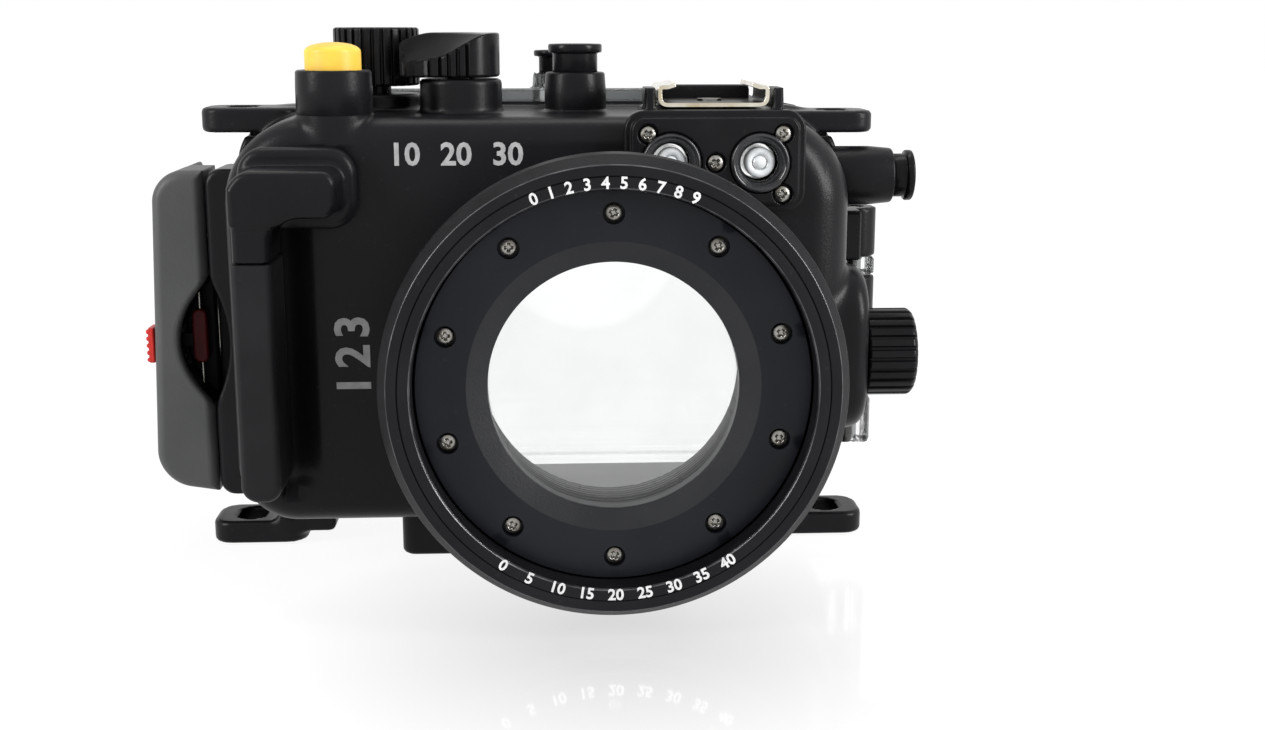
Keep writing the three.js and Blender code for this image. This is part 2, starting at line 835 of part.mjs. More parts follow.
function latchBlockCuts() {
  const channel = block(
    blockX - overrun, channelX, hookFrontY - 2 * gap, flangeRearY + overrun, -channelHalf,
    channelHalf,
  );
  const keeper = block(
    keeperTipX, channelX + overrun, flangeRearY - keeperDepth, flangeRearY + overrun,
    -channelHalf - overrun, channelHalf + overrun,
  );
  const notch = slab('y', notchOutline(blockX, blockNotchReach), latchFrontY - overrun, notchBackY);
  return [cut(channel, keeper), notch];
}

// Hinge knuckle: a barrel round the pin with a web to the casing
function knuckle(fromZ, toZ, webFromY, webToY) {
  const barrel = rod('z', hingeKnuckleRadius, fromZ, toZ, [hingeX, hingeY, 0], mediumSides);
  const web = block(flangeRightX - overrun, hingeX, webFromY, webToY, fromZ, toZ);
  return joined(barrel, web);
}

const hingeUpperClearBottom = hingeUpperClearZ - hingeUpperClearLength;

function frontShell() {
  const draftHalf = shellHalfWidth + shellDraft;
  const outer = loft([
    ...roundedEdge(
      shellFrontY, 1, shellEdgeRadius, shellHalfWidth, shellBottom, shellTop, shellCornerRadius,
    ),
    section(
      flangeFrontY, draftHalf, shellBottom - 2 * shellDraft, shellTop + shellDraft,
      shellCornerRadius,
    ),
    section(flangeFrontY + gap, flangeHalfWidth, flangeBottom, flangeTop, flangeCornerRadius),
    section(flangeRearY, flangeHalfWidth, flangeBottom, flangeTop, flangeCornerRadius),
  ]);
  const bay = loft([
    section(bayFrontY, bayHalfWidth, bayBottom, bayTop, bayCornerRadius),
    section(flangeRearY + overrun, bayHalfWidth, bayBottom, bayTop, bayCornerRadius),
  ]);
  const headBackY = portBossFaceY + portHeadDepth;
  const portBoss = turned('y', [
    [0, portBossFaceY],
    [portHeadRadius, portBossFaceY],
    [portHeadRadius, headBackY],
    [portNeckRadius, headBackY + portHeadTaper],
    [portNeckRadius, bayFrontY - overrun],
    [0, bayFrontY - overrun],
  ], [0, 0, 0], fineSides);
  const tripodHalf = tripodBossWidth / 2;
  const tripodShape = roundedRect(
    bodyMiddleX - tripodHalf, bodyMiddleX + tripodHalf, tripodBossFrontY, flangeRearY,
    tripodBossCornerRadius,
  );
  const tripodBoss = slab('z', tripodShape, baseZ, shellBottom + overrun);
  const pod = roundedRect(
    ringKnobY - ringPodDepth / 2, ringKnobY + ringPodDepth / 2, ringPodBottomZ, ringPodTopZ,
    ringPodDepth / 2 - overrun,
  );
  const ringPod = slab('x', pod, shellRightX - ringPodEdge - sideWall, ringKnobFromX - gap, ringPodEdge);
  const flashRoot = shellRightX - sideWall;
  const flashBoss = cone(
    'x', flashBossRadius, flashBossTipRadius, flashRoot, flashBossX, [0, flashY, flashZ],
    mediumSides,
  );
  const shoeMiddleX = (fibrePlateLeftX + fibrePlateRightX) / 2;
  const earReach = shoeWidth / 2 + gap + shoeEarWidth;
  const shoeBlock = block(
    shoeMiddleX - earReach, shoeMiddleX + earReach,
    shellFrontY, shellFrontY + shoeLength + 2 * overrun,
    bayTop + gap, fibrePlateTopZ,
  );
  const ears = [-1, 1].map((side) => {
    const nearX = shoeMiddleX + side * (earReach - shoeEarWidth);
    const farX = shoeMiddleX + side * earReach;
    return block(
      Math.min(nearX, farX), Math.max(nearX, farX),
      shellFrontY, shellFrontY + shoeLength / 2,
      fibrePlateTopZ - gap, fibrePlateTopZ + shoeEarHeight,
    );
  });
  const allLugs = lugs();
  const webFront = flangeFrontY + gap;
  const casing = joined(
    outer, portBoss, tripodBoss, ringPod, flashBoss, shoeBlock, ...ears, latchBlock(),
    ...topBosses(), ...allLugs.map((each) => each.plate),
    knuckle(hingeUpperClearZ, hingeTopZ, webFront, flangeRearY),
    knuckle(hingeLowerClearZ + gap, hingeUpperClearBottom - gap, webFront, flangeRearY),
  );
  const insertHole = rod(
    'z', tripodInsertRadius + gap, baseZ - overrun, baseZ + tripodInsertLength + 2 * gap,
    [bodyMiddleX, tripodInsertY, 0], mediumSides,
  );
  const groove = roundedRect(
    gripLeftX + gripBarWidth + gap, gripLeftX + gripBarWidth + grooveWidth, gripBottomZ,
    gripPlateBottomZ - gap, grooveWidth / 2 - gap,
  );
  const fibreHoles = fibreSocketPlaces().map((x) => {
    return rod(
      'y', fibreLensRadius + gap, shellFrontY - overrun, bayFrontY + overrun,
      [x, 0, fibreSocketZ], smallSides,
    );
  });
  const fibreTaps = fibreScrewPlaces().map(([x, z]) => {
    const end = fibreScrewHeadY() + fibreScrewLength + gap;
    return rod('y', fibreScrewShankRadius + gap, shellFrontY - overrun, end, [x, 0, z], smallSides);
  });
  const shoeTap = rod(
    'z', shoeScrewShankRadius + gap, fibrePlateTopZ + shoeSheet + gap - shoeScrewLength - gap,
    fibrePlateTopZ + overrun,
    [shoeMiddleX, shoeMiddleY, 0], smallSides,
  );
  const flashFloor = flashBossX - springSeatDepth + sideWall;
  const ringBore = rod(
    'x', ringShaftRadius + gap, shellRightX - 2 * sideWall, ringKnobFromX + overrun,
    [0, ringKnobY, ringKnobZ], smallSides,
  );
  const hollowed = cut(
    casing, bay, ...portCuts(), ...topBores(), insertHole,
    slab('y', groove, shellFrontY - overrun, shellFrontY + grooveDepth),
    ...fibreHoles, ...fibreTaps, shoeTap,
    rod('x', stemRadius + gap, shellRightX - 2 * sideWall, flashBossX, [0, flashY, flashZ], smallSides),
    rod('x', flashWaistRadius + gap, flashFloor, flashBossX + overrun, [0, flashY, flashZ], smallSides),
    ringBore, ...latchBlockCuts(), ...allLugs.map((each) => each.hole),
    rod('z', hingePinRadius + gap, hingeBottomZ, hingeTopZ + overrun, [hingeX, hingeY, 0], smallSides),
  );
  piece('front_shell', hollowed, blackPlastic);
}

function tripodInsert() {
  const centre = [bodyMiddleX, tripodInsertY, 0];
  const insert = tube(
    'z', tripodThreadRadius, tripodInsertRadius, baseZ + gap, baseZ + gap + tripodInsertLength,
    centre, mediumSides,
  );
  piece('tripod_insert', insert, brass);
}

// Moulded grip: a plate on the shell, an arm standing on it and the core of the vertical bar
function grip() {
  const backY = shellFrontY - gap;
  const plateFrontY = backY - gripPlateThickness;
  const plate = slab(
    'y',
    roundedRect(gripLeftX, gripPlateRightX, gripPlateBottomZ, gripPlateTopZ, gripCornerRadius),
    plateFrontY, backY, gripEdge,
  );
  const armTop = gripPlateTopZ - gripArmInset;
  const armRight = gripPlateRightX - gripArmSideInset;
  const barRight = gripLeftX + gripBarWidth;
  const arm = new THREE.Shape();
  const armBottom = gripPlateBottomZ + gripArmInset;
  const fillet = (armBottom - sleeveTopZ) * filletShare;
  arm.moveTo(gripLeftX, sleeveTopZ + gap);
  arm.lineTo(barRight, sleeveTopZ + gap);
  arm.absarc(barRight + fillet, armBottom - fillet, fillet, 2 * quarterTurn, quarterTurn, true);
  arm.lineTo(armRight, armBottom);
  arm.absarc(armRight - gripCornerRadius, armTop - gripCornerRadius, gripCornerRadius, 0, quarterTurn);
  arm.absarc(
    gripLeftX + gripCornerRadius, armTop - gripCornerRadius, gripCornerRadius, quarterTurn,
    2 * quarterTurn,
  );
  arm.closePath();
  const armBody = slab('y', arm, gripBarFrontY, backY, gripEdge / 2);
  const inset = sleeveWall + gap;
  const core = block(
    gripLeftX + inset, barRight - inset, gripBarFrontY + inset, backY - inset,
    gripBottomZ + inset, sleeveTopZ + overrun,
  );
  piece('front_grip', joined(plate, armBody, core), blackPlastic);
  const sleeveOuter = slab(
    'y', roundedRect(gripLeftX, barRight, gripBottomZ, sleeveTopZ, gripBarWidth / 4),
    gripBarFrontY, backY, gripEdge,
  );
  const sleeveHollow = block(
    gripLeftX + sleeveWall, barRight - sleeveWall, gripBarFrontY + sleeveWall,
    backY - sleeveWall, gripBottomZ + sleeveWall, sleeveTopZ + overrun,
  );
  piece('grip_sleeve', cut(sleeveOuter, sleeveHollow), rubber);
}

const fibrePlateBackY = shellFrontY - gap;
const fibrePlateFrontY = fibrePlateBackY - fibrePlateThickness;
const fibreMiddleX = (fibrePlateLeftX + fibrePlateRightX) / 2;

function fibreSocketPlaces() {
  return [-1, 1].map((side) => fibreMiddleX + side * fibreSocketSpacing / 2);
}

function fibreScrewHeadY() {
  return fibrePlateFrontY + gap;
}

// Screws in the three corners that clear the port, and one between the sockets
function fibreScrewPlaces() {
  const low = fibrePlateBottomZ + fibreScrewInset - overrun;
  const high = fibrePlateTopZ - fibreScrewInset;
  return [
    [fibrePlateLeftX + fibreScrewInset, high],
    [fibrePlateRightX - fibreScrewInset, high],
    [fibreMiddleX, fibreSocketZ],
    [fibrePlateRightX - fibreScrewInset, low],
  ];
}

function fibrePlate() {
  const shape = roundedRect(
    fibrePlateLeftX, fibrePlateRightX, fibrePlateBottomZ, fibrePlateTopZ,
    fibrePlateCornerRadius,
  );
  const sinkY = fibreScrewHeadY() + fibreScrewHeadHeight;
  const holes = fibreScrewPlaces().flatMap(([x, z]) => [
    rod('y', fibreScrewHeadRadius + gap, fibrePlateFrontY - overrun, sinkY + gap, [x, 0, z], smallSides),
    rod(
      'y', fibreScrewShankRadius + gap, fibrePlateFrontY, fibrePlateBackY + overrun, [x, 0, z],
      smallSides,
    ),
  ]);
  const sockets = fibreSocketPlaces().map((x) => {
    return rod(
      'y', fibreSocketRadius + gap, fibrePlateFrontY - overrun, fibrePlateBackY + overrun,
      [x, 0, fibreSocketZ], mediumSides,
    );
  });
  const plate = slab('y', shape, fibrePlateFrontY, fibrePlateBackY, gripEdge / 4);
  const portNotch = rod(
    'y', portNeckRadius + gap, fibrePlateFrontY - overrun, fibrePlateBackY + overrun, [0, 0, 0],
    fineSides,
  );
  piece('fibre_plate', cut(plate, portNotch, ...holes, ...sockets), blackPlastic);
  fibreScrewPlaces().forEach(([x, z], i) => {
    const head = rod('y', fibreScrewHeadRadius, fibreScrewHeadY(), sinkY, [x, 0, z], smallSides);
    const shank = rod(
      'y', fibreScrewShankRadius, sinkY - gap, fibreScrewHeadY() + fibreScrewLength, [x, 0, z],
      smallSides,
    );
    piece(`fibre_screw_${i + 1}`, joined(head, shank), steel);
  });
  fibreSocketPlaces().forEach((x, i) => {
    const side = ['left', 'right'][i];
    const centre = [x, 0, fibreSocketZ];
    const lipY = fibrePlateFrontY - fibreSocketProud;
    const socket = tube(
      'y', fibreSocketBore, fibreSocketRadius, lipY, fibrePlateBackY, centre, mediumSides,
    );
    piece(`fibre_socket_${side}`, socket, anodised);
    const lensFrontY = fibrePlateFrontY + fibreLensRecess;
    const lens = turned('y', [
      [0, lensFrontY - fibreLensRecess / 2],
      [fibreLensRadius / 2, lensFrontY - fibreLensRecess / 4],
      [fibreLensRadius, lensFrontY],
      [fibreLensRadius, bayFrontY],
      [0, bayFrontY],
    ], centre, smallSides);
    piece(`fibre_lens_${side}`, lens, clearPlastic);
  });
}

const shoeMiddleY = shellFrontY + overrun + shoeLength / 2;

// Cold shoe: a channel bent from sheet, its lips turned in
function coldShoe() {
  const half = shoeWidth / 2;
  const lipHalf = shoeLipGap / 2;
  const floorZ = fibrePlateTopZ + gap;
  const topZ = floorZ + shoeHeight;
  const points = [
    [-half + shoeSheet, floorZ], [half - shoeSheet, floorZ], [half, floorZ + shoeSheet],
    [half, topZ - shoeSheet / 2], [half - shoeSheet / 2, topZ], [lipHalf, topZ],
    [lipHalf, topZ - shoeSheet],
    [half - shoeSheet, topZ - shoeSheet], [half - shoeSheet, floorZ + shoeSheet],
    [-half + shoeSheet, floorZ + shoeSheet], [-half + shoeSheet, topZ - shoeSheet],
    [-lipHalf, topZ - shoeSheet], [-lipHalf, topZ], [-half + shoeSheet / 2, topZ],
    [-half, topZ - shoeSheet / 2],
    [-half, floorZ + shoeSheet],
  ].map(([x, z]) => [x + fibreMiddleX, z]);
  const channel = slab('y', polygon(points), shoeMiddleY - shoeLength / 2, shoeMiddleY + shoeLength / 2);
  const centre = [fibreMiddleX, shoeMiddleY, 0];
  const headBottom = floorZ + shoeSheet / 2;
  const headTop = floorZ + shoeSheet;
  const hole = joined(
    rod('z', shoeScrewShankRadius + gap, floorZ - overrun, headTop + overrun, centre, smallSides),
    rod('z', shoeScrewHeadRadius + gap, headBottom - gap, headTop + overrun, centre, smallSides),
  );
  piece('cold_shoe', cut(channel, hole), chrome);
  const screw = joined(
    rod('z', shoeScrewHeadRadius, headBottom, headTop, centre, smallSides),
    rod('z', shoeScrewShankRadius, headTop - shoeScrewLength, headBottom + gap, centre, smallSides),
  );
  piece('cold_shoe_screw', screw, steel);
}

function shutter() {
  const capBottom = shutterBossTop - 2 * gap - overrun;
  const cap = turned('z', [
    [0, capBottom],
    [shutterCapRadius, capBottom],
    [shutterCapRadius, shutterCapTop - shutterCapDome],
    [shutterCapRadius - shutterCapDome / 2, shutterCapTop - shutterCapDome / 3],
    [0, shutterCapTop],
  ], shutterPlace, mediumSides);
  const armBottom = linkageZ + pressTravel;
  const armTop = armBottom + linkageHeight;
  piece(
    'shutter_button',
    joined(cap, rod('z', stemRadius, armTop + gap, capBottom + gap, shutterPlace, smallSides)),
    yellow,
  );
  const arm = joined(
    rod('z', shutterArmWidth, armBottom, armTop, shutterPlace, smallSides),
    block(
      shutterX - shutterArmWidth / 2 - overrun, shutterX + shutterArmWidth / 2 - overrun,
      shutterY, shutterY + shutterArmReach, armBottom, armTop - gap,
    ),
  );
  piece('shutter_arm', arm, steel);
  spring(
    'shutter_spring', shutterX, shutterY, shutterBossTop - springSeatDepth + gap,
    capBottom - gap, stemRadius + 2 * gap + 2 * springWireRadius,
  );
}

function modeKnob() {
  const bottomZ = modeBossTop + modeKnobLift;
  const outline = ribbedOutline(modeKnobRadius, modeKnobRibs, knobRibDepth);
  const head = slab('z', outline, bottomZ, bottomZ + modeKnobHeight);
  const shaftBottom = linkageZ + linkageHeight + gap;
  const shaft = rod('z', modeShaftRadius, shaftBottom, bottomZ + gap, [0, 0, 0], smallSides);
  piece('mode_knob', joined(head, shaft).translate(modePlace), blackPlastic);
  piece(
    'mode_wheel',
    rod('z', modeWheelRadius, linkageZ, linkageZ + linkageHeight, modePlace, smallSides), rubber,
  );
}

// Zoom knob: a drum with a finger lobe that overhangs to the front left and is scooped on top
function zoomKnob() {
  const bottomZ = zoomBossTop + gap;
  const topZ = bottomZ + zoomKnobHeight;
  const drum = rod('z', zoomKnobRadius, bottomZ, topZ, [0, 0, 0], mediumSides);
  const lobeTip = zoomLobeReach - zoomKnobRadius / 2;
  const lobe = new THREE.Shape();
  lobe.absarc(0, 0, zoomKnobRadius, -quarterTurn, quarterTurn);
  lobe.absarc(-lobeTip, 0, zoomKnobRadius / 2, quarterTurn, 3 * quarterTurn);
  lobe.closePath();
  const lobeBody = slab('z', lobe, topZ - zoomLobeHeight, topZ, knobRibDepth);
  const scoop = block(-zoomLobeReach * 2, 0, -zoomLobeReach, zoomLobeReach, 0, zoomKnobHeight);
  const scoopCut = scoop.rotate([0, -zoomScoopTilt, 0]).translate([-overrun, 0, topZ - gap])
    .rotate([0, 0, zoomScoopTurn]);
  const head = cut(joined(drum, lobeBody), scoopCut);
  const shaft = rod(
    'z', zoomShaftRadius, linkageZ + linkageHeight + gap, bottomZ + gap, [0, 0, 0], smallSides,
  );
  const knob = joined(head, shaft).rotate([0, 0, zoomRestAngle]).translate(zoomPlace);
  piece('zoom_knob', knob, blackPlastic);
  const hub = rod(
    'z', zoomShaftRadius + overrun, linkageZ, linkageZ + linkageHeight, [0, 0, 0], smallSides,
  );
  const prongs = [-1, 1].map((side) => {
    return block(
      -overrun - side * zoomShaftRadius / 2, overrun - side * zoomShaftRadius / 2, 0,
      zoomForkReach, linkageZ, linkageZ + linkageHeight,
    );
  });
  piece('zoom_fork', joined(hub, ...prongs).translate(zoomPlace), steel);
}

// Profile of a spool-shaped push button with its stem, up the axis
function spool(capTop, flange, capRadius, waistRadius, waistBottom, stem, stemBottom) {
  return [
    [0, stemBottom],
    [stem, stemBottom],
    [stem, waistBottom],
    [waistRadius, waistBottom],
    [waistRadius, capTop - flange],
    [capRadius, capTop - flange],
    [capRadius, capTop],
    [0, capTop],
  ];
}

function powerButton() {
  const waistBottom = powerBossTop - 2 * gap;
  const profile = spool(
    powerCapTop, powerCapFlange, powerCapRadius, powerWaistRadius, waistBottom, stemRadius,
    linkageZ + gap,
  );
  piece('power_button', turned('z', profile, powerPlace, mediumSides), blackPlastic);
  spring(
    'power_spring', powerX, powerY, powerBossTop - springSeatDepth + gap, waistBottom - gap,
    stemRadius + gap + 2 * springWireRadius,
  );
}

const playbackY = doorFrontY + playbackBossRadius + gap;

function playbackButton() {
  const waistBottom = playbackBossTop - 2 * gap;
  const profile = spool(
    playbackCapTop, playbackCapFlange, playbackCapRadius, playbackWaistRadius, waistBottom,
    playbackStemRadius, bayTop - springSeatDepth / 2,
  );
  piece('playback_button', turned('z', profile, [playbackX, playbackY, 0], smallSides), blackPlastic);
}

function flashButton() {
  const waistInner = flashBossX - 2 * gap;
  const profile = spool(
    flashCapX, flashCapFlange, flashCapRadius, flashWaistRadius, waistInner, stemRadius,
    shellRightX - sideWall - springSeatDepth,
  );
  piece('flash_button', turned('x', profile, [0, flashY, flashZ], mediumSides), blackPlastic);
}

function ringKnob() {
  const outline = ribbedOutline(ringKnobRadius, ringKnobRibs, knobRibDepth);
  const length = ringKnobToX - ringKnobFromX;
  const head = slab('x', outline, ringKnobFromX, ringKnobToX);
  const cap = cone(
    'x', ringKnobRadius + length, ringKnobRadius - 2 * knobRibDepth, ringKnobFromX, ringKnobToX,
    [0, 0, 0], mediumSides,
  );
  const innerX = shellRightX - sideWall - ringWheelWidth - sideWall;
  const shaft = rod(
    'x', ringShaftRadius, innerX + ringWheelWidth + gap, ringKnobFromX + gap, [0, 0, 0],
    smallSides,
  );
  const place = [0, ringKnobY, ringKnobZ];
  piece('ring_knob', joined(head.intersect(cap), shaft).translate(place), blackPlastic);
  piece(
    'ring_wheel',
    rod('x', ringWheelRadius, innerX, innerX + ringWheelWidth, place, mediumSides), rubber,
  );
}

function rearButtonPlaces() {
  return Array.from(
    { length: rearButtonCount }, (_, i) => [rearButtonX, rearButtonTopZ - i * rearButtonPitch],
  );
}

// Outline of a seal lying on the middle of the door's rim, as a shape with a hole
function sealOutline(grow) {
  const inset = sealInset - grow;
  const far = sealInset + sealWidth + grow;
  const [x0, x1, z0, z1] = [flangeLeftX, flangeRightX, flangeBottom, flangeTop];
  const shape = roundedRect(x0 + inset, x1 - inset, z0 + inset, z1 - inset, flangeCornerRadius - inset);
  shape.holes.push(roundedRect(x0 + far, x1 - far, z0 + far, z1 - far, flangeCornerRadius - far));
  return shape;
}

function backDoor() {
  const dishHalf = flangeHalfWidth - doorDishInset;
  const dishTop = doorRimTop - doorDishInset - overrun;
  const dishBottom = doorRimBottom + doorDishInset + overrun;
  const dishRadius = flangeCornerRadius - doorDishInset;
  const dish = loft([
    section(doorFrontY + overrun, dishHalf, dishBottom, dishTop, dishRadius),
    ...roundedEdge(doorBackY, -1, doorEdgeRadius, dishHalf, dishBottom, dishTop, dishRadius).reverse(),
  ]);
  const rim = loft([
    section(doorFrontY, flangeHalfWidth, doorRimBottom, doorRimTop, flangeCornerRadius),
    section(doorRimBackY, flangeHalfWidth, doorRimBottom, doorRimTop, flangeCornerRadius),
  ]);
  const innerHalf = dishHalf - doorWall;
  const hollow = loft([
    section(
      doorFrontY - overrun, innerHalf, dishBottom + doorWall, dishTop - doorWall,
      dishRadius - doorWall,
    ),
    section(
      doorBackY - doorWall, innerHalf, dishBottom + doorWall, dishTop - doorWall,
      dishRadius - doorWall,
    ),
  ]);
  const knuckles = [
    knuckle(hingeUpperClearBottom, hingeUpperClearZ - gap, doorFrontY + gap, doorRimBackY),
    knuckle(hingeBottomZ + gap, hingeLowerClearZ, doorFrontY + gap, doorRimBackY),
  ];
  const earHalf = latchKnuckleHalf + gap;
  const ears = [earHalf, -earHalf - latchEarHeight].map((z) => joined(
    rod('z', latchKnuckleRadius, z, z + latchEarHeight, [latchPinX, latchPinY, 0], mediumSides),
    block(
      latchPinX, bodyMiddleX - dishHalf + overrun, latchPinY - latchKnuckleRadius,
      latchPinY + latchKnuckleRadius - overrun, z, z + latchEarHeight,
    ),
  ));
  const bosses = rearButtonPlaces().map(([x, z]) => {
    return rod(
      'y', rearBossRadius, doorBackY - doorWall, doorBackY + rearBossHeight, [x, 0, z],
      smallSides,
    );
  });
  const playbackBoss = rod(
    'z', playbackBossRadius, dishTop - doorWall, playbackBossTop, [playbackX, playbackY, 0],
    smallSides,
  );
  const rearHoles = rearButtonPlaces().flatMap(([x, z]) => [
    rod(
      'y', rearStemRadius + gap, doorBackY - doorWall - overrun, doorBackY + overrun, [x, 0, z],
      smallSides,
    ),
    rod(
      'y', rearCapRadius + gap, doorBackY + gap, doorBackY + rearBossHeight + overrun,
      [x, 0, z], smallSides,
    ),
  ]);
  const groove = slab('y', sealOutline(gap), doorFrontY - overrun, doorFrontY + sealHeight + gap);
  const playbackHoles = [
    rod(
      'z', playbackStemRadius + gap, bayTop - sideWall, playbackBossTop,
      [playbackX, playbackY, 0], smallSides,
    ),
    rod(
      'z', playbackWaistRadius + gap, playbackBossTop - pressTravel - overrun,
      playbackBossTop + overrun, [playbackX, playbackY, 0], smallSides,
    ),
  ];
  const door = cut(
    joined(dish, rim, ...knuckles, ...ears, ...bosses, playbackBoss),
    hollow, groove, ...rearHoles, ...playbackHoles,
    rod('z', hingePinRadius + gap, hingeBottomZ - overrun, hingeTopZ, [hingeX, hingeY, 0], smallSides),
    rod('z', latchPinRadius + gap, latchBottomZ, latchTopZ, [latchPinX, latchPinY, 0], smallSides),
  );
  piece('back_door', door, clearPlastic);
  piece('door_seal', slab('y', sealOutline(0), doorFrontY, doorFrontY + sealHeight), rubber);
}

function rearButtons() {
  const capInner = doorBackY + gap + rearTravel + gap;
  const capOuter = doorBackY + rearBossHeight + rearCapProud;
  rearButtonPlaces().forEach(([x, z], i) => {
    const profile = [
      [0, doorBackY - doorWall - rearTravel],
      [rearStemRadius, doorBackY - doorWall - rearTravel],
      [rearStemRadius, capInner],
      [rearCapRadius, capInner],
      [rearCapRadius, capOuter - gap],
      [rearCapRadius - gap, capOuter],
      [0, capOuter],
    ];
    piece(`rear_button_${i + 1}`, turned('y', profile, [x, 0, z], smallSides), blackPlastic);
  });
}

function hingePin() {
  const pin = rod(
    'z', hingePinRadius, hingeBottomZ + gap, hingeTopZ - gap, [hingeX, hingeY, 0], smallSides,
  );
  piece('hinge_pin', pin, steel);
}

// Latch lever: thick at its front edge, a skin behind, and a knuckle round the latch pin
function latch() {
  const slope = (latchInnerX - latchOuterX) * latchSlopeShare * 2;
  const front = new THREE.Shape();
  front.moveTo(latchInnerX, latchBottomZ);
  front.lineTo(latchInnerX, latchTopZ);
  front.absarc(
    latchOuterX + latchCornerRadius, latchTopZ - latchCornerRadius, latchCornerRadius,
    quarterTurn, 2 * quarterTurn,
  );
  front.lineTo(latchOuterX, latchBottomZ + slope);
  front.quadraticCurveTo(
    latchOuterX, latchBottomZ + slope / 2, latchInnerX - latchCornerRadius / 2, latchBottomZ,
  );
  front.closePath();
  const whole = slab('y', front, latchFrontY, latchRearY, gripEdge / 2);
  const skinX = latchOuterX + latchSkin;
  const behind = block(
    skinX, latchInnerX + overrun, flangeRearY, latchRearY + overrun, latchBottomZ - overrun,
    latchTopZ + overrun,
  );
  const barrel = rod(
    'z', latchKnuckleRadius, -latchKnuckleHalf, latchKnuckleHalf, [latchPinX, latchPinY, 0],
    mediumSides,
  );
  const neck = block(
    skinX - overrun, latchPinX, latchPinY - latchKnuckleRadius,
    latchPinY + latchKnuckleRadius - overrun, -latchKnuckleHalf, latchKnuckleHalf,
  );
  const notch = slab('y', notchOutline(latchInnerX, -notchReach), latchFrontY - overrun, notchBackY);
  const hookPocket = block(
    latchInnerX - hookBase - gap, latchInnerX + overrun, hookFrontY - gap,
    flangeRearY - overrun, -hookHeight / 2 - gap, hookHeight / 2 + gap,
  );
  const stemHalf = safetyStemHeight / 2 + gap;
  const stemSlot = block(
    latchOuterX - overrun, latchInnerX, safetyY - safetyStemWidth / 2 - gap,
    safetyY + safetyStemWidth / 2 + gap,
    safetyZ - stemHalf - safetyTravel, safetyZ + stemHalf,
  );
  const lever = cut(
    joined(cut(whole, behind), barrel, neck), notch, hookPocket, stemSlot,
    rod('z', latchPinRadius + gap, latchBottomZ, latchTopZ, [latchPinX, latchPinY, 0], smallSides),
  );
  piece('latch_lever', lever, darkGreyPlastic);
  const hook = joined(
    block(
      latchInnerX - hookBase, latchInnerX, hookFrontY, hookFrontY + hookDepth, -hookHeight / 2,
      hookHeight / 2,
    ),
    block(
      latchInnerX - overrun, hookTipX, hookFrontY, hookFrontY + hookDepth / 2, -hookHeight / 2,
      hookHeight / 2,
    ),
  );
  piece('latch_hook', hook, steel);
  const pinEnd = latchKnuckleHalf + latchEarHeight;
  piece(
    'latch_pin',
    rod('z', latchPinRadius, -pinEnd, pinEnd, [latchPinX, latchPinY, 0], smallSides), steel,
  );
}

const safetyY = latchFrontY + notchDepth / 2 + overrun;
const safetyZ = notchMiddleZ + safetyTravel / 2;

// Safety slide: a ribbed tab outside, a stem through the lever and the catch in the notch
function safetySlide() {
  const tabHalf = safetyTabHeight / 2;
  const tabX = latchOuterX - gap;
  const tab = block(
    tabX - safetyTabProud, tabX, safetyY - safetyTabWidth / 2, safetyY + safetyTabWidth / 2,
    safetyZ - tabHalf, safetyZ + tabHalf,
  );
  const catchX = latchInnerX - gap - overrun / 2;
  const stem = block(
    tabX - gap, catchX - safetyCatchWidth + gap, safetyY - safetyStemWidth / 2,
    safetyY + safetyStemWidth / 2,
    safetyZ - safetyStemHeight / 2, safetyZ + safetyStemHeight / 2,
  );
  const catchHalf = safetyCatchHeight / 2;
  const catchBody = block(
    catchX - safetyCatchWidth, catchX, safetyY - safetyStemWidth / 2,
    safetyY + safetyStemWidth / 2, safetyZ - catchHalf, safetyZ + catchHalf,
  );
  piece('safety_slide', joined(tab, stem, catchBody), red);
}

function cameraPads() {
  ['left', 'right'].forEach((side, i) => {
    const x = bodyMiddleX + (i - 1 / 2) * padSpacing;
    const pad = block(
      x - padWidth / 2, x + padWidth / 2, flangeRearY - padDepth - overrun,
      flangeRearY - overrun, bayBottom + gap, bayBottom + gap + padHeight,
    );
    piece(`camera_pad_${side}`, pad, rubber);
  });
}

frontShell();
portRing();
portWindow();
tripodInsert();
grip();
fibrePlate();
coldShoe();
shutter();
modeKnob();
zoomKnob();
powerButton();
playbackButton();
flashButton();
ringKnob();
backDoor();
rearButtons();
hingePin();
latch();
safetySlide();
cameraPads();

// The origin goes to the bottom centre of the whole housing
const bounds = new THREE.Box3().setFromObject(rig);
const middle = bounds.getCenter(new THREE.Vector3());
rig.position.set(-middle.x, -middle.y, -bounds.min.z);

export default group;
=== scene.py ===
# Looks of the underwater camera housing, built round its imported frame.
# Pieces are shaped in millimetres about the lens: x right, y back from the port ring's face, z up.
import math
import bpy
import numpy as np
from mathutils import Matrix, Vector


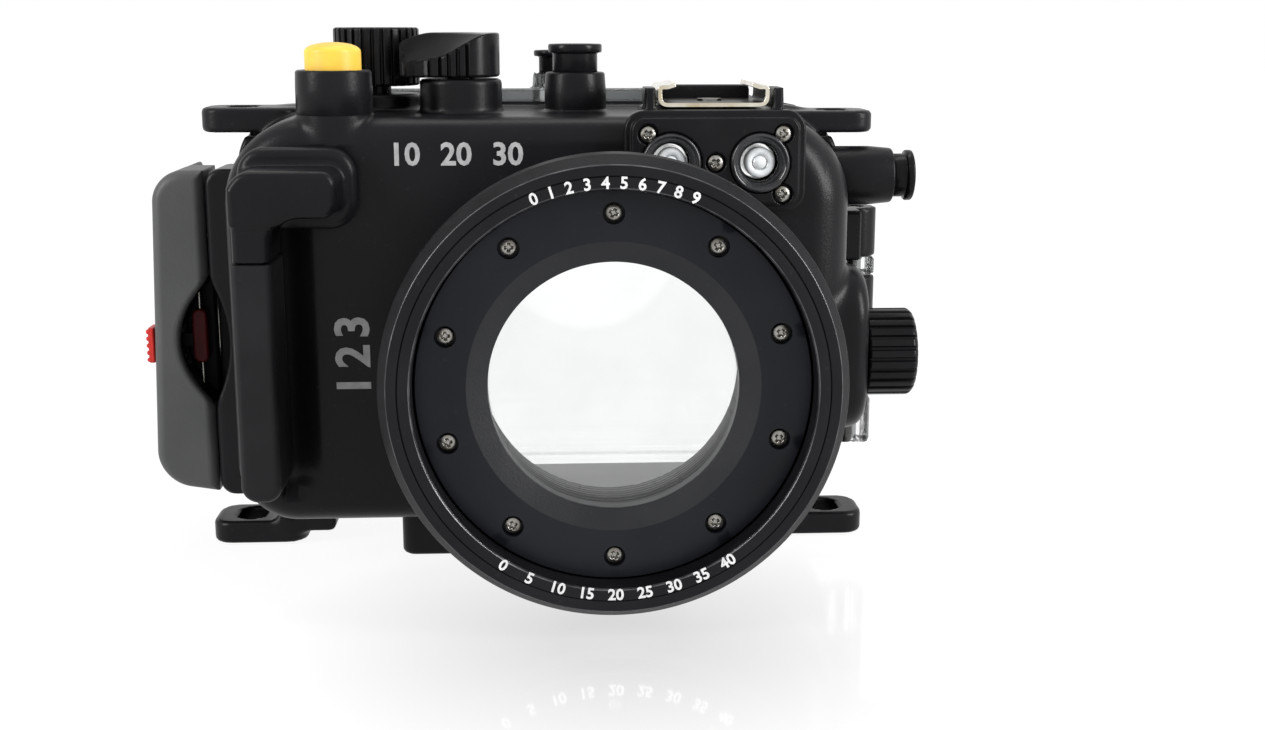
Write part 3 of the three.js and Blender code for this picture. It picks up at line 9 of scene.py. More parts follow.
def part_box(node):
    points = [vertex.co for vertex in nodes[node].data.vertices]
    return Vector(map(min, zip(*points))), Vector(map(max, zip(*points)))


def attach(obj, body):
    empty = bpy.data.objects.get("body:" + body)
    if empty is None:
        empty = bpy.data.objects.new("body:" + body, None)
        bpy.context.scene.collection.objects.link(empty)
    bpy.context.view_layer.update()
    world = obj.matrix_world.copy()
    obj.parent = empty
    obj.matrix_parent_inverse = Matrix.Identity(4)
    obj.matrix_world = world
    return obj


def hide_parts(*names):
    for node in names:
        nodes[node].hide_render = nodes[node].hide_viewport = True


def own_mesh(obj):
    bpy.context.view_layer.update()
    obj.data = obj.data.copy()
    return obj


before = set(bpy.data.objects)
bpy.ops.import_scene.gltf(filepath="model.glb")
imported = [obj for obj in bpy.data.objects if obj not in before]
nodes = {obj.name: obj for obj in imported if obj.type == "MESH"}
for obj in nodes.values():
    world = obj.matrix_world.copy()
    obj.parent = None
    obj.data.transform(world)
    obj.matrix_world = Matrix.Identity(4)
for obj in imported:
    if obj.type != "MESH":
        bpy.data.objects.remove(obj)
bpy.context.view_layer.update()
ringLow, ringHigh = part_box("port_ring")
lensPoint = Vector(((ringLow.x + ringHigh.x) / 2, ringLow.y, (ringLow.z + ringHigh.z) / 2))
mm = 0.001
print("frame loaded, lens point", tuple(round(v, 5) for v in lensPoint))

view = {
    "place": (0.0040, -0.30145, 0.1025),
    "pitch": 12.12,      # degrees down
    "yaw": 3.03,         # degrees to the right
    "lens": 45.53,
    "sensor": 36.0,
}
cameraData = bpy.data.cameras.new("photoCamera")
camera = bpy.data.objects.new("photoCamera", cameraData)
bpy.context.scene.collection.objects.link(camera)
camera.location = view["place"]
camera.rotation_euler = (math.radians(90 - view["pitch"]), 0, -math.radians(view["yaw"]))
cameraData.lens = view["lens"]
cameraData.sensor_width = view["sensor"]
cameraData.clip_start = 0.01
bpy.context.scene.camera = camera
bpy.context.scene.view_settings.view_transform = "Standard"


# Shader maths in plain expressions: a wire is a number's socket
class Wire:
    def __init__(self, finish, socket):
        self.finish = finish
        self.socket = socket

    def math(self, operation, first, second):
        return self.finish.add("ShaderNodeMath", {"operation": operation}, {0: first, 1: second})

    def __add__(self, other):
        return self.math("ADD", self, other)

    def __radd__(self, other):
        return self.math("ADD", other, self)

    def __sub__(self, other):
        return self.math("SUBTRACT", self, other)

    def __rsub__(self, other):
        return self.math("SUBTRACT", other, self)

    def __mul__(self, other):
        return self.math("MULTIPLY", self, other)

    def __rmul__(self, other):
        return self.math("MULTIPLY", other, self)


class Finish:
    def __init__(self, tree):
        self.tree = tree
        self.tree.nodes.clear()

    # Adds a node: settings first, then the values or wires of its sockets
    def add(self, kind, settings=None, sockets=None, output=0):
        node = self.tree.nodes.new(kind)
        for key, value in (settings or {}).items():
            setattr(node, key, value)
        for key, value in (sockets or {}).items():
            if isinstance(value, Wire):
                self.tree.links.new(value.socket, node.inputs[key])
            else:
                node.inputs[key].default_value = value
        return Wire(self, node.outputs[output]) if node.outputs else None

    def noise(self, place, size, detail=2.0):
        sockets = {"Vector": place, "Scale": 1 / (size * mm), "Detail": detail}
        return self.add("ShaderNodeTexNoise", {}, sockets)

    def spread(self, wire, low, high):
        sockets = {"Value": wire, "From Min": low, "From Max": high}
        return self.add("ShaderNodeMapRange", {}, sockets)

    def mix(self, factor, first, second):
        settings = {"data_type": "RGBA"}
        sockets = {0: factor, 6: (*first, 1) if isinstance(first, tuple) else first,
                   7: (*second, 1) if isinstance(second, tuple) else second}
        return self.add("ShaderNodeMix", settings, sockets, 2)

    def bump(self, height, depth, strength=1.0, under=None):
        sockets = {"Height": height, "Distance": depth * mm, "Strength": strength}
        if under:
            sockets["Normal"] = under
        return self.add("ShaderNodeBump", {}, sockets)

    # The camera's own rays, and one for these, for mirrored rays and for those through clear pieces
    def rays(self):
        own = self.add("ShaderNodeLightPath")
        kinds = own.socket.node.outputs
        glossy, through = (Wire(self, kinds[f"Is {kind} Ray"]) for kind in ("Glossy", "Transmission"))
        settings = {"operation": "ADD", "use_clamp": True}
        return own, self.add("ShaderNodeMath", settings, {0: own + glossy, 1: through})


def newMaterial(name):
    material = bpy.data.materials.new(name)
    material.use_nodes = True
    return material, Finish(material.node_tree)


# A material for one look, from the sockets that its maker fills
def surfaced(name, maker, look):
    material, finish = newMaterial(name)
    place = finish.add("ShaderNodeTexCoord", output=3)
    shader = finish.add("ShaderNodeBsdfPrincipled", {}, maker(finish, place, look))
    finish.add("ShaderNodeOutputMaterial", {}, {"Surface": shader})
    return material


# Moulded plastic, rubber and coated metal: a grain, soft clouds and fine dust over one colour
def coated(finish, place, look):
    grain = finish.noise(place, look["grain"], 3.0)
    clouds = finish.noise(place, look["clouds"])
    dust = finish.spread(finish.noise(place, 1.1, 5.0), 0.66, 0.82)
    colour = finish.mix(finish.spread(clouds, 0.35, 0.7), look["colour"], look["worn"])
    dustColour, dustShare = look.get("dust", ((0.15, 0.15, 0.15), 0.08))
    fine = finish.bump(grain, look["depth"])
    return {
        "Base Color": finish.mix(dust * dustShare, colour, dustColour),
        "Roughness": look["roughness"] + (clouds - 0.5) * 0.16 + (grain - 0.5) * 0.08,
        "Normal": finish.bump(finish.noise(place, look["grain"] * 9), look["depth"] * 1.5, 0.5, fine),
        "Metallic": look.get("metallic", 0.0), "Specular IOR Level": look["specular"],
        "Coat Weight": look.get("coat", 0.0), "Coat Roughness": 0.2,
    }


# Metal with turning or brushing lines along one axis
def metal(finish, place, look):
    stretch = finish.add("ShaderNodeMapping", {}, {"Vector": place, "Scale": look["stretch"]})
    lines = finish.noise(stretch, look["line"], 4.0)
    clouds = finish.noise(place, look["clouds"], 3.0)
    return {
        "Base Color": finish.mix(finish.spread(clouds, 0.35, 0.7), look["colour"], look["stain"]),
        "Roughness": look["roughness"] + (lines - 0.5) * 0.2 + (clouds - 0.5) * 0.15,
        "Metallic": 1.0, "Normal": finish.bump(lines, look["depth"]),
    }


# Clear plastic or glass, with faint handling marks
def clear(finish, place, look):
    smears = finish.spread(finish.noise(place, look["smears"], 4.0), 0.45, 0.8)
    return {
        "Base Color": finish.mix(smears, look["colour"], look["haze"]),
        "Roughness": look["roughness"] + smears * look["uneven"],
        "Transmission Weight": 1.0, "IOR": look["ior"],
        "Normal": finish.bump(finish.noise(place, look["wave"]), look["depth"]),
    }


# Each kind's maker, what its numbers are, and its finishes
looks = (
    (coated, "colour worn roughness grain depth clouds specular", {
        "blackShell": ((0.0050, 0.0051, 0.0060), (0.0078, 0.0080, 0.0093), 0.32, 0.42, 0.030, 22.0, 0.13),
        "blackControls": ((0.0055, 0.0055, 0.0064), (0.0085, 0.0085, 0.0098), 0.25, 0.30, 0.012, 9.0, 0.12),
        "greyLatch": ((0.066, 0.067, 0.068), (0.080, 0.081, 0.082), 0.44, 0.38, 0.045, 16.0, 0.28),
        "ringSatin": ((0.0050, 0.0051, 0.0062), (0.0078, 0.0079, 0.0092), 0.34, 0.25, 0.010, 14.0, 0.15),
        "ringBand": ((0.0045, 0.0047, 0.0056), (0.0090, 0.0094, 0.0105), 0.44, 0.34, 0.060, 5.0, 0.10),
        "bezelBlack": ((0.0065, 0.0072, 0.0100), (0.0100, 0.0108, 0.0142), 0.36, 0.22, 0.010, 18.0, 0.17),
        "chamferGrey": ((0.0065, 0.0070, 0.0088), (0.0120, 0.0125, 0.0150), 0.42, 0.36, 0.050, 12.0, 0.30),
        "rubber": ((0.0080, 0.0082, 0.0094), (0.0120, 0.0123, 0.0136), 0.50, 0.5, 0.026, 8.0, 0.18),
        "yellowCap": ((0.87, 0.53, 0.057), (0.92, 0.60, 0.085), 0.42, 0.4, 0.02, 4.0, 0.4),
        "redLock": ((0.62, 0.020, 0.012), (0.50, 0.012, 0.008), 0.42, 0.35, 0.02, 3.0, 0.4),
        # painted shade: a darker copy of the red lock for the catch deep in the notch
        "redPaintedShade": ((0.060, 0.003, 0.004), (0.042, 0.002, 0.003), 0.45, 0.35, 0.02, 3.0, 0.12),
        "whitePrint": ((0.72, 0.72, 0.72), (0.60, 0.60, 0.61), 0.55, 0.2, 0.01, 2.0, 0.3),
        "greyPrint": ((0.43, 0.43, 0.43), (0.33, 0.33, 0.34), 0.6, 0.2, 0.01, 2.0, 0.2),
        # painted shade: a darker copy of the black plastic, laid where shade falls in recesses and hollows
        "paintedRecessShade": ((0.0022, 0.0022, 0.0026), (0.0040, 0.0040, 0.0046), 0.55, 0.4, 0.02, 4.0, 0.08),
        "lensWhite": ((0.80, 0.82, 0.83), (0.66, 0.69, 0.71), 0.12, 0.5, 0.004, 1.6, 0.6),
        "socketGloss": ((0.014, 0.0145, 0.016), (0.028, 0.0285, 0.031), 0.15, 0.4, 0.006, 2.5, 0.45),
        # painted highlight: a brighter, partly metallic finish for the thin bright lines on the ring's edges
        "paintedEdgeHighlight": ((0.045, 0.045, 0.05), (0.12, 0.12, 0.125), 0.32, 0.3, 0.01, 4.0, 0.5),
        "paleFloor": ((0.72, 0.73, 0.72), (0.80, 0.80, 0.79), 0.5, 0.4, 0.01, 12.0, 0.3),
        # painted reflection: a dark finish for the chrome channel's inside, where it would mirror the dark
        # wall behind
        "shoePaintedReflection": ((0.012, 0.0115, 0.011), (0.030, 0.027, 0.022), 0.34, 0.3, 0.01, 6.0, 0.3),
    }),
    (metal, "colour stain roughness stretch line clouds depth", {
        "steel": ((0.36, 0.35, 0.325), (0.22, 0.205, 0.18), 0.30, (1, 1, 1), 0.25, 1.6, 0.012),
        "wireSteel": ((0.50, 0.49, 0.47), (0.38, 0.37, 0.35), 0.34, (0.2, 1, 1), 0.2, 3.0, 0.006),
        "chrome": ((0.72, 0.69, 0.60), (0.50, 0.43, 0.30), 0.13, (1, 0.15, 1), 0.4, 5.0, 0.004),
        "brass": ((0.62, 0.44, 0.19), (0.44, 0.29, 0.11), 0.32, (1, 1, 0.2), 0.3, 2.0, 0.01),
    }),
    (clear, "colour haze roughness uneven ior smears wave depth", {
        "clearPlastic": ((0.955, 0.965, 0.965), (0.91, 0.925, 0.925), 0.03, 0.06, 1.49, 9.0, 14.0, 0.02),
        "windowGlass": ((0.99, 0.995, 0.99), (0.97, 0.978, 0.972), 0.0, 0.012, 1.45, 12.0, 30.0, 0.002),
        "smokyRim": ((0.13, 0.137, 0.14), (0.09, 0.096, 0.098), 0.24, 0.12, 1.49, 9.0, 14.0, 0.02),
    }),
)
# What some finishes have beside these: the dust's colour and share, a metal's or a lacquer's gloss
extras = {
    "yellowCap": {"dust": ((0.85, 0.6, 0.2), 0.2)}, "redLock": {"dust": ((0.5, 0.05, 0.04), 0.3)},
    "redPaintedShade": {"dust": ((0.15, 0.02, 0.02), 0.1)}, "whitePrint": {"dust": ((0.4, 0.4, 0.4), 0.4)},
    "greyPrint": {"dust": ((0.2, 0.2, 0.2), 0.4)}, "lensWhite": {"dust": ((0.7, 0.7, 0.7), 0.3), "coat": 0.6},
    "paleFloor": {"dust": ((0.6, 0.6, 0.6), 0.2)}, "paintedEdgeHighlight": {"metallic": 0.7},
}
finishes = {}
for maker, names, rows in looks:
    for name, row in rows.items():
        look = dict(zip(names.split(), row)) | extras.get(name, {})
        finishes[name] = surfaced(name, maker, look)
print("finishes made:", len(finishes))


# The numbers of a look, by their names
def named(look, names):
    return [look[name] for name in names.split()]


# Fields: distances in millimetres from points, below zero inside
def length(*parts):
    return np.sqrt(sum(part * part for part in parts))


# What two crossing walls enclose, their corner rounded
def walled(a, b, radius):
    return length(np.maximum(a, 0), np.maximum(b, 0)) + np.minimum(np.maximum(a, b), 0) - radius


# How far outside two parallel walls a place is
def beyond(u, u0, u1):
    return np.abs(u - (u0 + u1) / 2) - (u1 - u0) / 2


def rect(u, v, u0, u1, v0, v1, radius):
    return walled(beyond(u, u0, u1) + radius, beyond(v, v0, v1) + radius, radius)


def disc(u, v, centre, radius):
    return length(u - centre[0], v - centre[1]) - radius


# An outline pulled along w, its end edges rounded
def pulled(outline, w, w0, w1, edge=0.0):
    return walled(outline + edge, beyond(w, w0, w1) + edge, edge)


# A union whose inner corners are filled with about that radius
def grown(fillet, first, *others):
    for other in others:
        share = np.clip(0.5 + (other - first) / (2 * fillet), 0, 1)
        first = other * (1 - share) + first * share - fillet * share * (1 - share)
    return first


def carved(fillet, first, *others):
    return -grown(fillet, -first, *others)


# An outline in a plane, round (u, v, radius) or square (u0, u1, v0, v1, radius), pulled across it
def form(spots, plane, outline, start, end, edge=0.0):
    x, y, z = spots
    u, v, w = {"xy": (x, y, z), "xz": (x, z, y), "yz": (y, z, x)}[plane]
    flat = disc(u, v, outline[:2], outline[2]) if len(outline) == 3 else rect(u, v, *outline)
    return pulled(flat, w, start, end, edge)


# Hinge knuckles between pairs of heights: barrels on webs
def knuckled(body, spots, fillet, shapes, heights):
    for low, high in heights:
        parts = [form(spots, "xy", outline, low, high, edge) for outline, edge in shapes]
        body = grown(fillet, body, np.minimum(*parts))
    return body


# Carves bores, each a form of its own
def bored(body, spots, bores):
    for bore in bores:
        body = carved(0.3, body, form(spots, *bore))
    return body


def addObject(name, mesh):
    thing = bpy.data.objects.new(name, mesh)
    bpy.context.scene.collection.objects.link(thing)
    return thing


def toRow(points):
    return np.asarray(points) * mm + np.array(lensPoint)


# Places a piece on its body, in its finish, for the CAD nodes that it stands for
def fit(thing, body, finish, *replaced):
    if not thing.data.materials:
        thing.data.materials.append(finishes[finish])
    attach(thing, body)
    if replaced:
        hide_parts(*replaced)
    return thing


# The skin of a field as a mesh: one point in each cell that the surface crosses
def skin(field, low, high, cell):
    low = np.array(low, float)
    counts = np.ceil((np.array(high, float) - low) / cell).astype(int) + 1
    lines = [low[i] + cell * np.arange(counts[i]) for i in range(3)]
    slices = [field(np.stack(np.meshgrid([x], lines[1], lines[2], indexing="ij"), -1).reshape(-1, 3))
              for x in lines[0]]
    values = np.stack(slices).reshape(counts)
    inside = values < 0
    offsets = np.array([(a, b, c) for a in (0, 1) for b in (0, 1) for c in (0, 1)])
    cells = counts - 1
    filled = sum(inside[a:a + cells[0], b:b + cells[1], c:c + cells[2]].astype(np.int8)
                 for a, b, c in offsets)
    active = (filled > 0) & (filled < 8)
    places = np.argwhere(active)
    corners = [values[tuple((places + offset).T)] for offset in offsets]
    total = np.zeros((len(places), 3))
    hits = np.zeros(len(places))
    for i, a in enumerate(offsets):
        for j, b in enumerate(offsets):
            if j > i and np.abs(a - b).sum() == 1:
                crossed = (corners[i] < 0) != (corners[j] < 0)
                share = np.where(crossed, corners[i] / np.where(crossed, corners[i] - corners[j], 1), 0)
                total += crossed[:, None] * (a + share[:, None] * (b - a))
                hits += crossed
    points = low + cell * (places + total / hits[:, None])
    number = np.full(cells, -1)
    number[active] = np.arange(len(places))
    quads = []
    for axis in range(3):
        u, v = (axis + 1) % 3, (axis + 2) % 3
        first = np.take(inside, range(cells[axis]), axis)
        second = np.take(inside, range(1, cells[axis] + 1), axis)
        edges = np.argwhere(first != second)
        around = []
        for du, dv in ((1, 1), (0, 1), (0, 0), (1, 0)):
            shifted = edges.copy()
            shifted[:, u] -= du
            shifted[:, v] -= dv
            around.append(number[tuple(shifted.T)])
        quad = np.stack(around, 1)
        leaving = first[tuple(edges.T)]
        quads.append(np.where(leaving[:, None], quad, quad[:, ::-1]))
    return points, np.concatenate(quads)


def slope(field, points, step):
    grad = np.stack([
        field(points + step * axis) - field(points - step * axis) for axis in np.eye(3)
    ], 1)
    return grad / np.maximum(np.linalg.norm(grad, axis=1, keepdims=True), 1e-9)


# A piece sculpted as a field: skinned, thinned, drawn onto the true surface and shaded by it
def sculpt(name, field, low, high, cell, keep, loose=False):
    points, quads = skin(field, low, high, cell)
    mesh = bpy.data.meshes.new(name)
    mesh.from_pydata(points.tolist(), [], quads.tolist())
    mesh.validate()
    thing = addObject(name, mesh)
    if keep < 1:
        thinner = thing.modifiers.new("thin", "DECIMATE")
        thinner.ratio = keep
        graph = bpy.context.evaluated_depsgraph_get()
        mesh = bpy.data.meshes.new_from_object(thing.evaluated_get(graph))
        thing.modifiers.clear()
        thing.data = mesh
        mesh.name = name
    flat = np.zeros(len(mesh.vertices) * 3)
    mesh.vertices.foreach_get("co", flat)
    points = flat.reshape(-1, 3)
    for _ in range(3):
        away = np.clip(field(points), -cell / 2, cell / 2)
        points = points - away[:, None] * slope(field, points, cell / 8)
    normals = slope(field, points, cell / 6)
    mesh.vertices.foreach_set("co", (points * mm if loose else toRow(points)).ravel())
    mesh.shade_smooth()
    mesh.validate()
    mesh.update()
    mesh.normals_split_custom_set_from_vertices(normals.tolist())
    print(name, "sculpted,", len(mesh.polygons), "faces")
    return thing


# Rounds the inner corners of a path
def softened(path, radius, steps=5):
    points = [Vector(place) for place in path]
    result = points[:1]
    for last, here, following in zip(points, points[1:], points[2:]):
        before, after = last - here, following - here
        reach = min(radius / math.tan(before.angle(after) / 2), before.length * 0.49, after.length * 0.49)
        start = here + before.normalized() * reach
        end = here + after.normalized() * reach
        for t in (k / steps for k in range(steps + 1)):
            result.append(start * (1 - t) ** 2 + here * 2 * t * (1 - t) + end * t ** 2)
    return result + points[-1:]


axes = {
    "x": Matrix(((0, 0, 1), (1, 0, 0), (0, 1, 0))),     # u along y, v along z
    "y": Matrix(((1, 0, 0), (0, 0, 1), (0, 1, 0))),     # u along x, v along z
    "z": Matrix(((1, 0, 0), (0, 1, 0), (0, 0, 1))),     # u along x, v along y
}


# Turns faces outwards, by the sign of the closed volume
def outward(points, faces):
    volume = 0.0
    for face in faces:
        first = points[face[0]]
        for j, k in zip(face[1:], face[2:]):
            volume += first.dot(points[j].cross(points[k]))
    return faces if volume > 0 else [tuple(reversed(face)) for face in faces]


def finishMesh(name, points, faces, bevel=0.0):
    mesh = bpy.data.meshes.new(name)
    mesh.from_pydata(toRow(points).tolist(), [], outward(points, faces))
    mesh.shade_smooth()
    mesh.validate()
    thing = addObject(name, mesh)
    if bevel:
        edge = thing.modifiers.new("edge", "BEVEL")
        edge.width = bevel * mm
        edge.segments = 2
        edge.limit_method = "ANGLE"
        edge.angle_limit = math.radians(35)
    weighted = thing.modifiers.new("normals", "WEIGHTED_NORMAL")
    weighted.keep_sharp = True
    return thing


# A turned piece: its profile is (radius, place along the axis), from the axis back to it, or closed
def turned(name, profile, axis, centre, sides=96, closed=False):
    basis = axes[axis]
    points, faces, rings = [], [], []
    for radius, along in profile:
        if radius < 1e-6:
            rings.append([len(points)])
            points.append(basis @ Vector((0, 0, along)) + Vector(centre))
            continue
        rings.append(list(range(len(points), len(points) + sides)))
        for i in range(sides):
            angle = 2 * math.pi * i / sides
            around = Vector((radius * math.cos(angle), radius * math.sin(angle), along))
            points.append(basis @ around + Vector(centre))
    pairs = list(zip(rings, rings[1:])) + ([(rings[-1], rings[0])] if closed else [])
    for low, high in pairs:
        for i in range(sides):
            j = (i + 1) % sides
            if len(low) == 1 and len(high) == 1:
                continue
            if len(low) == 1:
                faces.append((low[0], high[j], high[i]))
            elif len(high) == 1:
                faces.append((low[i], low[j], high[0]))
            else:
                faces.append((low[i], low[j], high[j], high[i]))
    return finishMesh(name, points, faces)


# A flat outline pulled straight along y
def pulledPiece(name, outline, start, end, bevel):
    count = len(outline)
    points = [axes["y"] @ Vector((u, v, along)) for along in (start, end) for u, v in outline]
    faces = [tuple(range(count - 1, -1, -1)), tuple(range(count, 2 * count))]
    faces += [(i, (i + 1) % count, (i + 1) % count + count, i + count) for i in range(count)]
    return finishMesh(name, points, faces, bevel)


# Gives the faces that a test picks, by their middle in lens millimetres, a second finish
def paint(thing, finish, test):
    thing.data.materials.append(finishes[finish])
    for face in thing.data.polygons:
        if test(*((face.center - lensPoint) / mm), face.normal):
            face.material_index = len(thing.data.materials) - 1


shell = {
    "left": -69.0, "right": 45.0, "front": 34.0, "rear": 68.0, "bottom": -32.0, "top": 43.0,
    "corners": (11.0, 17.0), "edges": (4.6, 8.0), "lean": 1.0,
    "flange": (-71.0, 47.0, -36.0, 43.8, 12.0), "flangeFront": 61.0,
    "bay": (-66.0, 42.0, -29.0, 40.0), "bayCorners": (8.0, 14.0), "bayFront": 39.0,
    "headRadius": 36.5, "neckRadius": 31.0, "headFront": 7.9,
    "topCorner": 16.0, "bayTopCorner": 13.0, "lugFront": 55.0, "lugCorner": 4.0,
    "topLug": (38.7, 42.9, -76.7, 52.7), "baseLug": (-42.7, -38.1, -78.6, 52.9),
    "leftLug": (39.1, 43.8), "lugLength": (0, 18.7), "lugSlot": (4.4, 10.2), "lugWedge": (13.2, 24.7),
    "pod": (35.5, 56.5, -17.2, 14.3, 9.5), "podEnd": 49.4, "hinge": (52.0, 70.3), "hingeRadius": 4.5,
    "grooveDepth": 1.9, "notchMiddle": -1.2, "notchHalf": 12.4, "notchReach": 3.2, "notchBack": 61.0,
    "cell": 0.7, "keep": 0.5,
}

# Grown onto the shell, in order: fillet, plane, outline, from, to, rounding
bosses = {
    "mode": (1.2, "xy", (-43.2, 60, 8.1), 38, 46.3, 0.7),
    "zoom": (1.2, "xy", (-26.7, 50, 7.65), 38, 49.4, 0.8),
    "power": (1.4, "xy", (-5.3, 52, 5.6), 38, 43.9, 0.3),
    "flash": (1.6, "yz", (56, 30.4, 5.4), 40, 46.5, 0.3),
    "ringKnobPod": (1.6, "yz", shell["pod"], 38, shell["podEnd"], 3.0),
    "tripod": (1.5, "xy", (-40, 16, 46, 68, 3), -42.7, -30, 1.0),
    "latchBlock": (1.0, "xz", (-76.2, -66.3, -32.2, 32.3, 3.0), 54, 68, 1.2),
    "shoeWall": (0.4, "xz", (10.6, 28.0, 40, 48.0, 0.6), 53.4, 57, 0.4),
    "shoeBase": (0.8, "xy", (6.8, 31.8, 34, 54, 0.8), 38, 44.4, 0.5),
}
shellBores = {
    "shutterStem": ("xy", (-49, 40, 2.3), 34, 52), "shutterWell": ("xy", (-49, 40, 4.1), 42, 53),
    "shutterArm": ("xy", (-53.4, -44.6, 36.6, 42, 0.3), 32, 40),
    "mode": ("xy", (-43.2, 60, 2.9), 38, 48), "zoom": ("xy", (-26.7, 50, 2.8), 38, 51),
    "powerStem": ("xy", (-5.3, 52, 2.3), 38, 52), "powerWell": ("xy", (-5.3, 52, 3.8), 41.2, 52),
    "flash": ("yz", (56, 30.4, 2.3), 38, 58), "ringKnob": ("yz", (46, -2.7, 3.3), 38, 54),
    "hinge": ("xy", (*shell["hinge"], 1.8), -27, 24), "tripod": ("xy", (-12, 57, 5.3), -44, -35),
    "leftSocket": ("xz", (11.35, 35.1, 3.2), 33, 40), "rightSocket": ("xz", (27.25, 35.1, 3.2), 33, 40),
}


# Strap lugs at both sides, with their slots, and the wedges that carry the lower ones
def addLugs(body, spots):
    lugs = [(base, top, side, tip) for base, top, *tips in (shell["topLug"], shell["baseLug"])
            for side, tip in zip((-1, 1), tips)]
    lugs[0] = (*shell["leftLug"], *lugs[0][2:])
    kinds = named(shell, "lugLength lugSlot lugWedge")
    spans = [[sorted(tip - side * reach for reach in kind) for kind in kinds] for *_, side, tip in lugs]
    for (base, top, *_), (plate, slot, wedge) in zip(lugs, spans):
        outline = (*plate, shell["lugFront"], 68, shell["lugCorner"])
        body = grown(1.2, body, form(spots, "xy", outline, base, top, 0.9))
        if top < 0:
            body = grown(2.2, body, form(spots, "xz", (*wedge, -40.4, -30, 1.5), 55.3, 68, 0.8))
    for (base, top, *_), (plate, slot, wedge) in zip(lugs, spans):
        body = carved(0.5, body, form(spots, "xy", (*slot, 57.5, 65.5, 2.6), base - 1, top + 1))
    return body


# Posts at both ends of the shoe, narrower upwards
def addEars(body, x, y, z):
    for side in (-1, 1):
        foot = 19.3 + side * 11.5
        ear = np.maximum(np.abs(x - foot) - 1.0 + np.clip((z - 44) * 0.04, 0, 1), 0) - 0.1
        post = pulled(ear, y, 34, 43, 0.3) + np.maximum(z - 48.4, 0) * 2 + np.maximum(43 - z, 0)
        body = grown(0.5, body, post)
    return body


def shellField(points):
    x, y, z = spots = points.T
    lean = np.clip((y - 34) / 27, 0, 1) * shell["lean"]
    corner = np.where(z > 5, shell["topCorner"], np.interp(x, (-20, 0), shell["corners"]))
    outline = rect(x, z, shell["left"] - lean, shell["right"] + lean, shell["bottom"] - 2 * lean,
                   shell["top"] + 0.3 * lean, corner)
    body = pulled(outline, y, shell["front"], 66, np.interp(x, (24, 40), shell["edges"]))
    body = grown(0.9, body, form(spots, "xz", shell["flange"], shell["flangeFront"], shell["rear"], 0.9))
    reach = length(x, z)
    headRadius = np.interp(y, (12.9, 16.4), (shell["headRadius"], shell["neckRadius"]))
    body = grown(2.4, body, pulled((reach - headRadius) * 0.8, y, shell["headFront"], 38, 0.6))
    body = addLugs(body, spots)
    shutterRadius = np.interp(z, (31, 38, 45), (3.0, 6.8, 6.85))
    body = grown(0.9, body, pulled(length(x + 49, y - 40) - shutterRadius, z, 29, 45, 0.2))
    for fillet, *boss in bosses.values():
        body = grown(fillet, body, form(spots, *boss))
    body = addEars(body, x, y, z)
    hx, hy = shell["hinge"]
    knuckle = (((hx, hy, shell["hingeRadius"]), 0.5), ((44, hx, 61.3, 68, 0.4), 0.4))
    body = knuckled(body, spots, 0.8, knuckle, ((12.8, 22.8), (-16.7, 8.6)))
    return carveShell(body, spots, reach)


def carveShell(body, spots, reach):
    x, y, z = spots
    bayCorner = np.where(z > 5, shell["bayTopCorner"], np.interp(x, (-20, 0), shell["bayCorners"]))
    body = carved(0.5, body, form(spots, "xz", (*shell["bay"], bayCorner), shell["bayFront"], 80, 1.2))
    tubeRidges = 22.5 + 0.22 * np.abs((y / 1.3) % 1 - 0.5)
    # Seats of the bezel and the window, the ridged lens tube, the bay behind it, the seal's groove
    hollows = [pulled(reach - radius, y, start, end) for radius, start, end in (
        (33.5, -5, 8.9), (26.3, -5, 13.2), (tubeRidges, -5, 27), (28, 26, 45))]
    hollows.append(np.maximum(np.maximum(23.3 - reach, reach - 25.5), y - 14.9))
    body = np.maximum(body, -np.minimum.reduce(hollows))
    body = bored(body, spots, shellBores.values())
    # The finger groove falls softly towards the bar
    sides = np.clip((-52.6 - x) / 5.4, 0, 1) * np.clip((x + 61.5) / 1.5, 0, 1)
    sink = sides * np.clip((z + 29.5) / 6.5, 0, 1) * np.clip((25.5 - z) / 2.0, 0, 1)
    sink = sink * sink * (3 - 2 * sink)
    body = np.maximum(body, np.where(sink > 0, (34 + shell["grooveDepth"] * sink - y) * 0.8, -9))
    # The latch's finger notch, then the channel for its hook with the keeper left standing
    middle, half = named(shell, "notchMiddle notchHalf")
    share = np.clip((z - middle) / half, -1, 1)
    notch = np.maximum((x + 76.2 - shell["notchReach"] * (1 - share ** 2)) * 0.85, y - shell["notchBack"])
    body = carved(0.8, body, np.maximum(notch, np.abs(z - middle) - half))
    channel = np.maximum(np.maximum(x + 73.2, 62.6 - y), np.abs(z) - 5.9)
    keeper = np.maximum(-74.4 - x, 65.6 - y)
    return np.maximum(body, -np.maximum(channel, -keeper))


shellPiece = sculpt("shellBody", shellField, (-79, 6, -45), (59, 76, 53), shell["cell"], shell["keep"])
fit(shellPiece, "housing", "blackShell", "front_shell")
# The bay's floor, then painted shade in the latch's recess
paint(shellPiece, "paleFloor",
      lambda x, y, z, normal: z < -27.5 and 38.5 < y < 68 and normal.z > 0.7 and abs(x) < 30)
paint(shellPiece, "paintedRecessShade", lambda x, y, z, normal: x < -72.4 and abs(z + 1.2) < 12.6
      and 55.6 < y < 66 and normal.z < 0.9 and (normal.x < -0.3 or normal.y < -0.6))

